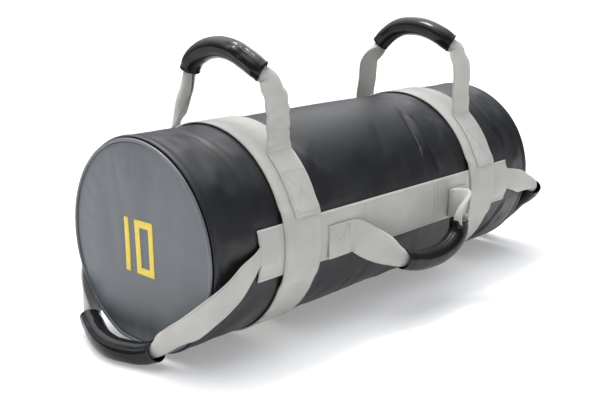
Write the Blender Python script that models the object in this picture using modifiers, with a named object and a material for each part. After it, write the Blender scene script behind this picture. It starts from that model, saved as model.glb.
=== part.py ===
# Sandbag trainer: a round leatherette bag with a sand filling, two webbing bands round it,
# a webbing strap along each side, and six padded webbing handles that swing on their sewn ends.
# Metres, +Z up. X runs along the bag, the numbered near end is at -X, the front side at -Y.
# The origin is on the floor under the middle of the bag.

import math

import bmesh
import bpy
from mathutils import Vector

# Driving dimensions of the bag
BAG_RADIUS = 0.125
BAG_LENGTH = 0.634
REST_FLAT_WIDTH = 0.070
SHELL_THICKNESS = 0.002
SHELL_EDGE_ROUND = 0.006
FIT_GAP = 0.0003

# End panels and piping
PIPING_RADIUS = 0.0022
PANEL_THICKNESS = 0.002
PANEL_CROWN = 0.006
PANEL_FLAT_RADIUS = 0.052

# Weight number on the end panels
DIGIT_HEIGHT = 0.0625
DIGIT_STROKE = 0.0080
DIGIT_ZERO_WIDTH = 0.0310
DIGIT_SPACE = 0.0115
DIGIT_THICKNESS = 0.0006
DIGIT_RISE = 0.0013
DIGIT_SHIFT = 0.0055

# Filling
PADDING_THICKNESS = 0.006
PADDING_DISC_THICKNESS = 0.012
POUCH_RADIUS = 0.058
POUCH_WALL = 0.001
POUCH_END_SPACE = 0.0073
POUCH_ROUND = 0.014
POUCH_NECK_RADIUS = 0.009
POUCH_NECK_LENGTH = 0.012
POUCH_SPACE = 0.008
WADDING_GAP = 0.0008

# Webbing
WEBBING_THICKNESS = 0.002
BAND_WIDTH = 0.0584
BAND_INSET = 0.1326
STRAP_WIDTH = 0.0584
STRAP_TAB_LENGTH = 0.0379
HANDLE_WEBBING_WIDTH = 0.040
HANDLE_ROLL_RADIUS = 0.0050
HANDLE_ROLL_LENGTH = 0.022
HANDLE_LONG_ROLL_LENGTH = 0.060
HANDLE_MOUTH_LENGTH = 0.002
SEAM_GAP = 0.0008

# Grips
TOP_GRIP_LENGTH = 0.140
END_GRIP_LENGTH = 0.152
GRIP_RADIUS = 0.0130
GRIP_SLEEVE_WALL = 0.0018
GRIP_BORE_GAP = 0.0009

# Top handles
TOP_SEAM_LOW_ANGLE = math.radians(14)
TOP_ROOT_ANGLE = math.radians(47)
TOP_LEG_SPLAY_START_SHARE = 0.70
TOP_LEG_SPLAY_END_SHARE = 0.80
NEAR_TOP_FRONT_TWIST = math.radians(-8)
NEAR_TOP_BACK_TWIST = math.radians(-48)
NEAR_TOP_RISE = 0.117
FAR_TOP_RISE = 0.124

# Side handles
SIDE_TAIL_SPACE = 0.0124
SIDE_TAIL_LENGTH = 0.038
SIDE_LEG_RUN = 0.064
SIDE_ROOT_DROP = 0.008
SIDE_REACH = 0.0334
SIDE_DROP = 0.055

# End handles
NEAR_END_FOLDED_WIDTH = 0.020
FAR_END_FOLDED_WIDTH = 0.031
END_SPREAD_LENGTH = 0.040
END_ROOT_RISE = 0.002
END_REACH = 0.1032
END_FLOOR_GAP = 0.0004
END_LEAN_INSET = 0.020
END_LEAN_LENGTH = 0.048
END_LEAN_SHARE = 0.8

# Routes of the handles, as shares of the spans, reaches and drops above.
# Top: across, up. Side: along, out, down. End: along, across, down.
NEAR_TOP_SHARES = [
    (-0.937, 0.257), (-0.896, 0.437), (-0.827, 0.627), (-0.728, 0.793), (-0.511, 0.886),
    (-0.228, 0.97), (0.101, 0.997), (0.428, 0.932), (0.611, 0.837), (0.695, 0.717), (0.729, 0.576),
    (0.783, 0.426), (0.85, 0.276), (0.928, 0.14),
]
FAR_TOP_SHARES = [
    (-0.936, 0.157), (-0.924, 0.306), (-0.93, 0.477), (-0.89, 0.668), (-0.749, 0.822),
    (-0.569, 0.905), (-0.35, 0.965), (-0.048, 1), (0.259, 0.974), (0.507, 0.878), (0.675, 0.765),
    (0.804, 0.616), (0.838, 0.487), (0.855, 0.35), (0.891, 0.205),
]
SIDE_SHARES = [
    (-1, 0, 0), (-0.922, 0.072, 0.018), (-0.786, 0.341, 0.191), (-0.605, 0.671, 0.411),
    (-0.385, 0.88, 0.664), (-0.097, 0.94, 0.827), (0.172, 0.94, 0.882), (0.437, 0.94, 0.855),
    (0.612, 0.94, 0.755), (0.738, 0.94, 0.591), (0.786, 0.94, 0.4), (0.782, 0.94, 0.236),
    (0.796, 0.955, 0.091), (0.835, 0.97, -0.018), (0.903, 0.955, -0.082), (0.971, 0.85, -0.109),
    (1.015, 0.611, -0.091), (1.019, 0.311, -0.055), (1.004, 0.102, -0.018), (1, 0, 0),
]
NEAR_END_SHARES = [
    (0, -1, 0), (0.094, -1.011, 0.063), (0.268, -1.015, 0.18), (0.482, -1.003, 0.316),
    (0.656, -0.918, 0.46), (0.763, -0.747, 0.649), (0.821, -0.575, 0.812), (0.85, -0.42, 0.929),
    (0.889, -0.288, 0.987), (0.947, -0.148, 1), (0.991, 0.016, 1), (0.966, 0.187, 1),
    (0.898, 0.35, 1), (0.811, 0.513, 0.983), (0.734, 0.661, 0.938), (0.666, 0.739, 0.83),
    (0.549, 0.824, 0.676), (0.385, 0.921, 0.451), (0.23, 0.984, 0.234), (0.094, 1.008, 0.077),
    (0, 1, 0),
]
FAR_END_SHARES = [
    (0, -1, 0), (0.152, -1.011, 0.036), (0.365, -1.026, 0.099), (0.559, -1.03, 0.144),
    (0.685, -1.023, 0.18), (0.756, -0.984, 0.261), (0.801, -0.902, 0.352), (0.821, -0.785, 0.46),
    (0.83, -0.653, 0.622), (0.85, -0.498, 0.784), (0.889, -0.342, 0.92), (0.927, -0.156, 0.983),
    (0.962, 0.047, 0.956), (0.945, 0.249, 0.938), (0.898, 0.451, 0.902), (0.821, 0.622, 0.839),
    (0.724, 0.762, 0.748), (0.617, 0.859, 0.631), (0.443, 0.932, 0.442), (0.21, 0.982, 0.216),
    (0, 1, 0),
]
NEAR_TOP_GRIP_SHARE = 0.495
FAR_TOP_GRIP_SHARE = 0.495
SIDE_GRIP_SHARE = 0.539
NEAR_END_GRIP_SHARE = 0.536
FAR_END_GRIP_SHARE = 0.335

# Counts
BAG_STEPS = 64
LINING_STEPS = 32
FILLING_STEPS = 16
GRIP_STEP_COUNT = 9
RAMP_STEP_COUNT = 3
LEG_STEP_COUNT = 8
GRIP_SIDES_RESOLUTION = 3
CURVE_SAMPLES = 12
BEND_REACH = 0.020

# Layers, from the bag's skin outwards
BAG_END_X = BAG_LENGTH / 2
BAND_CENTRE_X = BAG_END_X - BAND_INSET
STRAP_INNER = BAG_RADIUS + FIT_GAP
STRAP_OUTER = STRAP_INNER + WEBBING_THICKNESS
LAYER_STEP = WEBBING_THICKNESS + FIT_GAP
AXIS_HEIGHT = LAYER_STEP + math.sqrt(BAG_RADIUS ** 2 - (REST_FLAT_WIDTH / 2) ** 2)
STRAP_END_X = BAND_CENTRE_X + BAND_WIDTH / 2 + STRAP_TAB_LENGTH
STRAP_HALF_ANGLE = STRAP_WIDTH / 2 / BAG_RADIUS
BAND_LIFT_STEPS = math.ceil(STRAP_HALF_ANGLE * BAG_STEPS / math.tau)
BAND_LIFT_ANGLE = BAND_LIFT_STEPS * math.tau / BAG_STEPS
BAND_RAMP_ANGLE = (BAND_LIFT_STEPS + 1) * math.tau / BAG_STEPS
SIDE_TAIL_END_X = BAND_CENTRE_X - BAND_WIDTH / 2 - SIDE_TAIL_SPACE
SIDE_ROOT_HALF_SPAN = SIDE_TAIL_END_X - SIDE_TAIL_LENGTH - WEBBING_THICKNESS / 2 - SEAM_GAP
SIDE_GRIP_LENGTH = 2 * SIDE_ROOT_HALF_SPAN - SIDE_LEG_RUN
END_LEAN_START_X = BAG_END_X - END_LEAN_INSET
GRIP_CORE_RADIUS = GRIP_RADIUS - GRIP_SLEEVE_WALL - FIT_GAP
GRIP_BORE_RADIUS = HANDLE_ROLL_RADIUS + GRIP_BORE_GAP


# Materials

def make_material(name, colour, roughness, metallic=0):
    material = bpy.data.materials.new(name)
    material.use_nodes = True
    shader = material.node_tree.nodes["Principled BSDF"]
    shader.inputs["Base Color"].default_value = (*colour, 1)
    shader.inputs["Roughness"].default_value = roughness
    shader.inputs["Metallic"].default_value = metallic
    return material


def make_materials():
    return {
        "shell": make_material("black_leatherette", (0.020, 0.021, 0.024), 0.38),
        "panel": make_material("grey_leatherette", (0.19, 0.20, 0.21), 0.45),
        "webbing": make_material("grey_webbing", (0.46, 0.45, 0.43), 0.80),
        "grip": make_material("grip_leatherette", (0.022, 0.022, 0.022), 0.35),
        "digit": make_material("yellow_vinyl", (0.82, 0.62, 0.11), 0.50),
        "foam": make_material("grey_foam", (0.12, 0.12, 0.12), 0.95),
        "wadding": make_material("textile_wadding", (0.35, 0.33, 0.30), 0.95),
        "pouch": make_material("pouch_cloth", (0.10, 0.12, 0.16), 0.85),
        "sand": make_material("sand", (0.50, 0.40, 0.26), 1.0),
    }


# Scene helpers

def clear_scene():
    for old in list(bpy.data.objects):
        bpy.data.objects.remove(old, do_unlink=True)


def add_object(name, data, material, hinge=None):
    item = bpy.data.objects.new(name, data)
    collection.objects.link(item)
    if material is not None:
        data.materials.append(material)
    if hinge is not None:
        item.parent = hinge
    return item


def add_hinge(name, place):
    hinge = bpy.data.objects.new(name, None)
    hinge.location = place
    collection.objects.link(hinge)
    return hinge


def baked(item):
    bpy.context.view_layer.update()
    graph = bpy.context.evaluated_depsgraph_get()
    mesh = bpy.data.meshes.new_from_object(item.evaluated_get(graph))
    item.modifiers.clear()
    item.data = mesh
    return item


# Rules of the bag's shape

def rest_level(radius):
    # Each layer lies on the one outside it, and the bands lie on the floor.
    return STRAP_OUTER - radius


def band_lift(angle):
    # How far a band stands off the bag where it passes over a side strap.
    # The angle is measured up or down from the middle of the side.
    away = abs(angle)
    if away <= BAND_LIFT_ANGLE:
        return LAYER_STEP
    if away >= BAND_RAMP_ANGLE:
        return 0
    return LAYER_STEP * (BAND_RAMP_ANGLE - away) / (BAND_RAMP_ANGLE - BAND_LIFT_ANGLE)


def on_bag(x, side, angle, radius):
    # A point at a height angle on the front (side -1) or the back (side 1) of the bag.
    y = side * radius * math.cos(angle)
    z = AXIS_HEIGHT + radius * math.sin(angle)
    return Vector((x, y, max(z, rest_level(radius))))


def side_angle(y, z):
    return math.atan2(z, abs(y))


# Turned shapes, spun about the bag's axis

def turned(name, profile, material, steps, lift=None):
    bm = bmesh.new()
    verts = [bm.verts.new((x, radius, 0)) for x, radius in profile]
    for i, vert in enumerate(verts):
        bm.edges.new((vert, verts[(i + 1) % len(verts)]))
    mesh = bpy.data.meshes.new(name)
    bm.to_mesh(mesh)
    bm.free()
    item = add_object(name, mesh, material)
    screw = item.modifiers.new("turn", "SCREW")
    screw.axis = "X"
    screw.steps = steps
    screw.render_steps = steps
    screw.use_merge_vertices = True
    screw.merge_threshold = FIT_GAP / 10
    baked(item)
    press_flat(item.data, lift)
    shade(item.data)
    return item


def press_flat(mesh, lift):
    bm = bmesh.new()
    bm.from_mesh(mesh)
    bmesh.ops.remove_doubles(bm, verts=bm.verts, dist=FIT_GAP / 10)
    bmesh.ops.dissolve_degenerate(bm, edges=bm.edges, dist=FIT_GAP / 10)
    bmesh.ops.recalc_face_normals(bm, faces=bm.faces)
    for vert in bm.verts:
        y, z = vert.co.y, vert.co.z
        radius = math.hypot(y, z)
        if lift is not None:
            raised = radius + lift(side_angle(y, z))
            y *= raised / radius
            z *= raised / radius
        vert.co.y = y
        vert.co.z = max(AXIS_HEIGHT + z, rest_level(radius))
    bm.to_mesh(mesh)
    bm.free()


def shade(mesh):
    mesh.shade_smooth()
    mesh.set_sharp_from_angle(angle=math.radians(35))


def both_ends(profile, end):
    return [(end * x, radius) for x, radius in profile]


# The bag's skin

def shell_tube():
    inner = BAG_RADIUS - SHELL_THICKNESS
    edge = SHELL_EDGE_ROUND
    half = [(BAG_END_X - edge, BAG_RADIUS), (BAG_END_X, BAG_RADIUS - edge / 5), (BAG_END_X, inner)]
    profile = half + both_ends(reversed(half), -1)
    turned("shell_tube", profile, materials["shell"], BAG_STEPS)


def piping_centre_radius():
    return BAG_RADIUS - SHELL_THICKNESS - FIT_GAP - PIPING_RADIUS


def panel_radius():
    return piping_centre_radius() - PIPING_RADIUS - FIT_GAP


def panel_face_x(radius):
    # The end panel is flat under the number and falls away in a soft crown to its seam.
    top = BAG_END_X + PANEL_CROWN - PIPING_RADIUS * 2
    spare = max(radius - PANEL_FLAT_RADIUS, 0) / (panel_radius() - PANEL_FLAT_RADIUS)
    return top - PANEL_CROWN * spare ** 2


def piping(name, end):
    count = 6
    profile = []
    for i in range(count):
        turn = math.tau * (i + 0.5) / count
        profile.append((BAG_END_X - PIPING_RADIUS / 2 + PIPING_RADIUS * math.cos(turn),
                        piping_centre_radius() + PIPING_RADIUS * math.sin(turn)))
    turned(name, both_ends(profile, end), materials["panel"], LINING_STEPS)


def end_panel(name, end):
    rim = panel_radius()
    stations = [0, PANEL_FLAT_RADIUS, (PANEL_FLAT_RADIUS + rim) / 2, rim]
    outer = [(panel_face_x(radius), radius) for radius in stations]
    inner = [(x - PANEL_THICKNESS, radius) for x, radius in reversed(outer)]
    turned(name, both_ends(outer + inner, end), materials["panel"], LINING_STEPS)


def digit_outline(points, holes, name, end):
    # A flat outline on the end panel. Points are (across, up) as a reader sees them.
    curve = bpy.data.curves.new(name, "CURVE")
    curve.dimensions = "2D"
    curve.fill_mode = "BOTH"
    curve.extrude = DIGIT_THICKNESS / 2
    for loop in [points] + holes:
        spline = curve.splines.new("POLY")
        spline.points.add(len(loop) - 1)
        for point, (across, up) in zip(spline.points, loop):
            point.co = (across, up, 0, 1)
        spline.use_cyclic_u = True
    item = add_object(name, curve, materials["digit"])
    item.rotation_euler = (math.pi / 2, 0, end * math.pi / 2)
    x = panel_face_x(0) + FIT_GAP + DIGIT_THICKNESS / 2
    item.location = (end * x, 0, AXIS_HEIGHT + DIGIT_RISE)


def rectangle(left, right, low, high):
    return [(left, low), (right, low), (right, high), (left, high)]


def weight_number(prefix, end):
    total = DIGIT_STROKE + DIGIT_SPACE + DIGIT_ZERO_WIDTH
    left = DIGIT_SHIFT - total / 2
    half = DIGIT_HEIGHT / 2
    digit_outline(rectangle(left, left + DIGIT_STROKE, -half, half), [], prefix + "_digit_one", end)
    zero = left + DIGIT_STROKE + DIGIT_SPACE
    right = zero + DIGIT_ZERO_WIDTH
    outline = rectangle(zero, right, -half, half)
    hole = rectangle(zero + DIGIT_STROKE, right - DIGIT_STROKE, DIGIT_STROKE - half, half - DIGIT_STROKE)
    digit_outline(outline, [hole], prefix + "_digit_zero", end)


# The filling

def padding_outer():
    return BAG_RADIUS - SHELL_THICKNESS - FIT_GAP


def padding_inner():
    return padding_outer() - PADDING_THICKNESS


def padding_end_x():
    return panel_face_x(panel_radius()) - PANEL_THICKNESS - FIT_GAP


def padding_sleeve():
    x = padding_end_x()
    profile = [(-x, padding_outer()), (x, padding_outer()), (x, padding_inner()), (-x, padding_inner())]
    turned("padding_sleeve", profile, materials["foam"], LINING_STEPS)


def padding_disc(name, end):
    rim = padding_inner() - FIT_GAP
    back = padding_end_x() - PADDING_DISC_THICKNESS
    stations = [0, PANEL_FLAT_RADIUS, (PANEL_FLAT_RADIUS + rim) / 2, rim]
    face = [(panel_face_x(radius) - PANEL_THICKNESS - FIT_GAP, radius) for radius in stations]
    profile = face + [(back, rim), (back, 0)]
    turned(name, both_ends(profile, end), materials["foam"], LINING_STEPS)


def wadding():
    x = padding_end_x() - PADDING_DISC_THICKNESS - FIT_GAP
    outer = padding_inner() - FIT_GAP
    inner = POUCH_RADIUS + WADDING_GAP
    profile = [(-x, outer), (x, outer), (x, inner), (-x, inner)]
    turned("wadding_fill", profile, materials["wadding"], LINING_STEPS)


def pouch_end_x():
    # Where a pouch's body ends. Its neck stands free of the padding disc.
    return padding_end_x() - PADDING_DISC_THICKNESS - POUCH_END_SPACE - POUCH_NECK_LENGTH


def pouch_outline(shrink):
    # Half of a pouch's section, from its closed end to its gathered neck.
    radius = POUCH_RADIUS - shrink
    start = POUCH_SPACE / 2 + shrink
    stop = pouch_end_x() - shrink
    soft = POUCH_ROUND - shrink
    return [(start, 0), (start, radius - soft), (start + soft, radius), (stop - soft, radius), (stop, radius - soft)]


def sand_pouch(name, end):
    outer = pouch_outline(0)
    inner = pouch_outline(POUCH_WALL)
    stop = outer[-1][0]
    neck = [(stop, POUCH_NECK_RADIUS), (stop + POUCH_NECK_LENGTH, POUCH_NECK_RADIUS),
            (stop + POUCH_NECK_LENGTH, POUCH_NECK_RADIUS - POUCH_WALL),
            (inner[-1][0], POUCH_NECK_RADIUS - POUCH_WALL)]
    profile = outer + neck + inner[::-1]
    turned(name, both_ends(profile, end), materials["pouch"], FILLING_STEPS)


def sand_fill(name, end):
    outline = pouch_outline(POUCH_WALL + WADDING_GAP)
    profile = outline + [(outline[-1][0], 0)]
    turned(name, both_ends(profile, end), materials["sand"], FILLING_STEPS)


# Bands and straps

def band(name, x_centre):
    low = x_centre - BAND_WIDTH / 2
    high = x_centre + BAND_WIDTH / 2
    profile = [(low, STRAP_OUTER), (high, STRAP_OUTER), (high, STRAP_INNER), (low, STRAP_INNER)]
    turned(name, profile, materials["webbing"], BAG_STEPS, band_lift)


def wrapped_strip(name, x_low, x_high, side, angle_low, angle_high, radius_at, rows):
    # A flat length of webbing laid on the bag's round side.
    bm = bmesh.new()
    bmesh.ops.create_grid(bm, x_segments=1, y_segments=rows, size=0.5)
    for vert in bm.verts:
        x = x_low + (x_high - x_low) * (vert.co.x + 0.5)
        angle = angle_low + (angle_high - angle_low) * (vert.co.y + 0.5)
        vert.co = on_bag(x, side, angle, radius_at(angle))
    bmesh.ops.recalc_face_normals(bm, faces=bm.faces)
    mesh = bpy.data.meshes.new(name)
    bm.to_mesh(mesh)
    bm.free()
    item = add_object(name, mesh, materials["webbing"])
    wall = item.modifiers.new("webbing", "SOLIDIFY")
    wall.thickness = WEBBING_THICKNESS
    wall.offset = 0
    wall.use_even_offset = True
    return item


def side_strap(name, side):
    wrapped_strip(name, -STRAP_END_X, STRAP_END_X, side, -STRAP_HALF_ANGLE, STRAP_HALF_ANGLE,
                  lambda angle: (STRAP_INNER + STRAP_OUTER) / 2, 8)


def on_band(angle):
    return STRAP_OUTER + FIT_GAP + WEBBING_THICKNESS / 2 + band_lift(angle)


def on_strap(angle):
    return STRAP_OUTER + FIT_GAP + WEBBING_THICKNESS / 2


# Webbing handles

def top_leg_x(x_centre, side):
    # Each sewn end is flush with one edge of its band: the far edge in front, the near one behind.
    return x_centre - side * (BAND_WIDTH - HANDLE_WEBBING_WIDTH) / 2


def top_tail(name, x_centre, side):
    x = top_leg_x(x_centre, side)
    half = HANDLE_WEBBING_WIDTH / 2
    wrapped_strip(name, x - half, x + half, side, TOP_SEAM_LOW_ANGLE, TOP_ROOT_ANGLE, on_band, 10)


def side_root_angle():
    return -SIDE_ROOT_DROP / on_strap(0)


def side_tail(name, side, inner_x, outer_x):
    half = HANDLE_WEBBING_WIDTH / 2 / on_strap(0)
    low, high = sorted((inner_x, outer_x))
    middle = side_root_angle()
    wrapped_strip(name, low, high, side, middle - half, middle + half, on_strap, 6)


def end_root_angle():
    return END_ROOT_RISE / on_strap(0)


def end_tail(name, end, side, folded):
    half = folded / 2 / on_strap(0)
    inner = end * (BAND_CENTRE_X + BAND_WIDTH / 2 + SEAM_GAP)
    low, high = sorted((inner, end * STRAP_END_X))
    middle = end_root_angle()
    wrapped_strip(name, low, high, side, middle - half, middle + half, on_strap, 4)


def smooth_route(points):
    # A smooth curve through the points, as a fine polyline. Each point's slope is weighted by the
    # lengths on its two sides, so that the curve doesn't swing out beside a short step.
    spans = [(there - here).length for here, there in zip(points, points[1:])]
    slopes = [(there - here) / span for here, there, span in zip(points, points[1:], spans)]
    bends = [slopes[0]]
    for i in range(1, len(slopes)):
        total = spans[i - 1] + spans[i]
        bends.append((slopes[i - 1] * spans[i] + slopes[i] * spans[i - 1]) / total)
    bends.append(slopes[-1])
    route = []
    for i, span in enumerate(spans):
        for k in range(CURVE_SAMPLES):
            t = k / CURVE_SAMPLES
            away = (1 + 2 * t) * (1 - t) ** 2
            leave = t * (1 - t) ** 2 * span
            arrive = t * t * (t - 1) * span
            here = points[i] * away + points[i + 1] * (1 - away)
            route.append(here + bends[i] * leave + bends[i + 1] * arrive)
    route.append(points[-1])
    return route


def route_lengths(route):
    lengths = [0]
    for a, b in zip(route, route[1:]):
        lengths.append(lengths[-1] + (b - a).length)
    return lengths


def route_point(route, lengths, distance):
    for i in range(1, len(route)):
        if distance <= lengths[i] or i == len(route) - 1:
            share = (distance - lengths[i - 1]) / (lengths[i] - lengths[i - 1])
            return route[i - 1].lerp(route[i], share)


def bend_measure(route, lengths):
    # Length along the route with every bend counted as extra length.
    measure = [0]
    for i in range(1, len(route)):
        turn = 0
        if i + 1 < len(route):
            turn = (route[i] - route[i - 1]).angle(route[i + 1] - route[i])
        measure.append(measure[-1] + lengths[i] - lengths[i - 1] + BEND_REACH * turn)
    return measure


def interpolated(value, source, target):
    for i in range(1, len(source)):
        if value <= source[i] or i == len(source) - 1:
            share = (value - source[i - 1]) / (source[i] - source[i - 1])
            return target[i - 1] + (target[i] - target[i - 1]) * share


def spread_stations(low, high, count, lengths, measure):
    # Distances from low to high, closer together where the route bends.
    first = interpolated(low, lengths, measure)
    last = interpolated(high, lengths, measure)
    steps = [first + (last - first) * i / count for i in range(1, count)]
    return [low] + [interpolated(step, measure, lengths) for step in steps] + [high]


def stations_along(route, grip, ramps):
    # Distances along a handle: a leg, a ramp where it rolls up, the grip, a ramp and the other leg.
    lengths = route_lengths(route)
    measure = bend_measure(route, lengths)
    total = lengths[-1]
    start = total * grip[0] - grip[1] / 2
    stop = start + grip[1]
    mouth_in = start - HANDLE_MOUTH_LENGTH
    mouth_out = stop + HANDLE_MOUTH_LENGTH
    sections = [(0, mouth_in - ramps[0], LEG_STEP_COUNT), (mouth_in - ramps[0], mouth_in, RAMP_STEP_COUNT),
                (mouth_in, start, 1), (start, stop, GRIP_STEP_COUNT), (stop, mouth_out, 1),
                (mouth_out, mouth_out + ramps[1], RAMP_STEP_COUNT),
                (mouth_out + ramps[1], total, LEG_STEP_COUNT)]
    distances = [0]
    for low, high, count in sections:
        distances += spread_stations(low, high, count, lengths, measure)[1:]
    return distances, start, stop


def roll_share(distance, start, stop, ramps):
    # 0 where the webbing is flat, 1 where it is rolled up inside the grip.
    before = (start - HANDLE_MOUTH_LENGTH - distance) / ramps[0]
    after = (distance - stop - HANDLE_MOUTH_LENGTH) / ramps[1]
    away = min(max(before, after, 0), 1)
    return 1 - away * away * (3 - 2 * away)


def bisecting_tangents(centres):
    steps = [(b - a).normalized() for a, b in zip(centres, centres[1:])]
    inner = [(a + b).normalized() for a, b in zip(steps, steps[1:])]
    return [steps[0]] + inner + [steps[-1]]


def away_from_bag(place):
    # Straight out from the bag's round side, leaning outwards more and more round its end.
    outwards = Vector((0, place.y, place.z - AXIS_HEIGHT)).normalized()
    past = (abs(place.x) - END_LEAN_START_X) / END_LEAN_LENGTH
    outwards.x = math.copysign(min(max(past, 0), 1) * END_LEAN_SHARE, place.x)
    return outwards.normalized()


def lying_width(centre, tangent):
    # The width direction of webbing that lies flat against the bag.
    return tangent.cross(away_from_bag(centre)).normalized()


def matched(direction, reference):
    return direction * math.copysign(1, direction.dot(reference))


def carried(centres, tangents, width, leg_count, lying):
    # A width direction carried along a route without twist, or lying on the bag along the leg.
    widths = []
    for i, tangent in enumerate(tangents):
        if lying and i < leg_count:
            width = matched(lying_width(centres[i], tangent), width)
        width = (width - tangent * width.dot(tangent)).normalized()
        widths.append(width)
    return widths


def ribbon_frames(centres, distances, grip_ends, root_width, twists, lying):
    # Each leg starts square to its tail. The grip hides the turn between the two legs.
    start, stop = grip_ends
    tangents = bisecting_tangents(centres)
    leg_count = LEG_STEP_COUNT + RAMP_STEP_COUNT
    forward = carried(centres, tangents, root_width, leg_count, lying)
    backward = carried(centres[::-1], tangents[::-1], root_width, leg_count, lying)[::-1]
    middle = len(centres) // 2
    if forward[middle].dot(backward[middle]) < 0:
        backward = [-width for width in backward]
    cross = tangents[middle].dot(forward[middle].cross(backward[middle]))
    turn = math.atan2(cross, forward[middle].dot(backward[middle]))
    frames = []
    for i, (tangent, distance) in enumerate(zip(tangents, distances)):
        share = min(max((distance - start) / (stop - start), 0), 1)
        leg = min(distance / start, (distances[-1] - distance) / (distances[-1] - stop), 1)
        twist = twists[0] if i < middle else twists[1]
        angle = twist * math.sin(math.pi * leg)
        width = backward[i]
        if share < 1:
            width = forward[i]
            angle += turn * share
        across = width * math.cos(angle) + tangent.cross(width) * math.sin(angle)
        root = root_width
        if lying:
            root = lying_width(centres[i], Vector((1, 0, 0)))
        across = matched(root, across).lerp(across, leg).normalized()
        frames.append((across, tangent.cross(across).normalized()))
    return frames


def flat_section(width):
    half = width / 2
    thin = WEBBING_THICKNESS / 2
    sixth = width / 6
    return [(half, thin), (sixth, thin), (-sixth, thin), (-half, thin),
            (-half, -thin), (-sixth, -thin), (sixth, -thin), (half, -thin)]


def rolled_section():
    turns = [math.tau * (k + 0.5) / 8 for k in range(8)]
    return [(HANDLE_ROLL_RADIUS * math.cos(t), HANDLE_ROLL_RADIUS * math.sin(t)) for t in turns]


def ribbon(name, centres, frames, sections, hinge):
    # A loft through the sections, closed at both ends.
    bm = bmesh.new()
    rings = []
    for centre, (across, out), section in zip(centres, frames, sections):
        rings.append([bm.verts.new(centre + across * u + out * v - hinge.location) for u, v in section])
    count = len(rings[0])
    for a, b in zip(rings, rings[1:]):
        for k in range(count):
            bm.faces.new((a[k], a[(k + 1) % count], b[(k + 1) % count], b[k]))
    for ring in (rings[0], rings[-1]):
        for k in range(count // 2 - 1):
            bm.faces.new((ring[k], ring[k + 1], ring[-2 - k], ring[-1 - k]))
    bmesh.ops.recalc_face_normals(bm, faces=bm.faces)
    mesh = bpy.data.meshes.new(name)
    bm.to_mesh(mesh)
    bm.free()
    shade(mesh)
    add_object(name, mesh, materials["webbing"], hinge)


def grip_tube(name, centres, inner, outer, material, hinge):
    curve = bpy.data.curves.new(name, "CURVE")
    curve.dimensions = "3D"
    curve.bevel_depth = (inner + outer) / 2
    curve.bevel_resolution = GRIP_SIDES_RESOLUTION
    spline = curve.splines.new("POLY")
    spline.points.add(len(centres) - 1)
    for point, centre in zip(spline.points, centres):
        point.co = (*(centre - hinge.location), 1)
    item = add_object(name, curve, material, hinge)
    wall = item.modifiers.new("wall", "SOLIDIFY")
    wall.thickness = outer - inner
    wall.offset = 0


def leg_width(distance, total, folded):
    # Folded where it is sewn down, and opening out to its full width.
    share = min(min(distance, total - distance) / END_SPREAD_LENGTH, 1)
    return folded + (HANDLE_WEBBING_WIDTH - folded) * share


def handle(prefix, hinge_place, points, root_width, grip, ramps, twists, folded, lying=False):
    hinge = add_hinge(prefix + "_hinge", hinge_place)
    route = smooth_route(points)
    distances, start, stop = stations_along(route, grip, ramps)
    lengths = route_lengths(route)
    centres = [route_point(route, lengths, d) for d in distances]
    frames = ribbon_frames(centres, distances, (start, stop), root_width, twists, lying)
    sections = []
    for distance in distances:
        share = roll_share(distance, start, stop, ramps)
        flat = flat_section(leg_width(distance, lengths[-1], folded))
        sections.append([(fu + (ru - fu) * share, fv + (rv - fv) * share)
                         for (fu, fv), (ru, rv) in zip(flat, rolled_section())])
    ribbon(prefix + "_webbing", centres, frames, sections, hinge)
    inside = [c for c, d in zip(centres, distances) if start - FIT_GAP <= d <= stop + FIT_GAP]
    grip_tube(prefix + "_grip_core", inside, GRIP_BORE_RADIUS, GRIP_CORE_RADIUS,
              materials["foam"], hinge)
    grip_tube(prefix + "_grip_sleeve", inside, GRIP_RADIUS - GRIP_SLEEVE_WALL, GRIP_RADIUS,
              materials["grip"], hinge)


def top_seam_points(x_centre, side):
    # The leg starts along its tail and lifts off the band.
    radius = on_band(TOP_ROOT_ANGLE)
    angle = TOP_ROOT_ANGLE + SEAM_GAP / radius
    lift_off = angle + 4 * WEBBING_THICKNESS / radius
    x = top_leg_x(x_centre, side)
    return [on_bag(x, side, angle, radius), on_bag(x, side, lift_off, radius + WEBBING_THICKNESS / 4)]


def top_handle(prefix, x_centre, rise, shares, grip_share, twists):
    front = top_seam_points(x_centre, -1)
    back = top_seam_points(x_centre, 1)
    root = back[0]
    middle = []
    splay_range = TOP_LEG_SPLAY_END_SHARE - TOP_LEG_SPLAY_START_SHARE
    for across, up in shares:
        side = math.copysign(1, across)
        splay = min(max((abs(across) - TOP_LEG_SPLAY_START_SHARE) / splay_range, 0), 1)
        x = x_centre + (top_leg_x(x_centre, side) - x_centre) * splay
        middle.append(Vector((x, root.y * across, root.z + rise * up)))
    points = front + middle + back[::-1]
    hinge = (x_centre, 0, root.z)
    grip = (grip_share, TOP_GRIP_LENGTH)
    ramps = (HANDLE_ROLL_LENGTH, HANDLE_ROLL_LENGTH)
    handle(prefix, hinge, points, Vector((1, 0, 0)), grip, ramps, twists, HANDLE_WEBBING_WIDTH)
    top_tail(prefix + "_front_tail", x_centre, -1)
    top_tail(prefix + "_back_tail", x_centre, 1)


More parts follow.
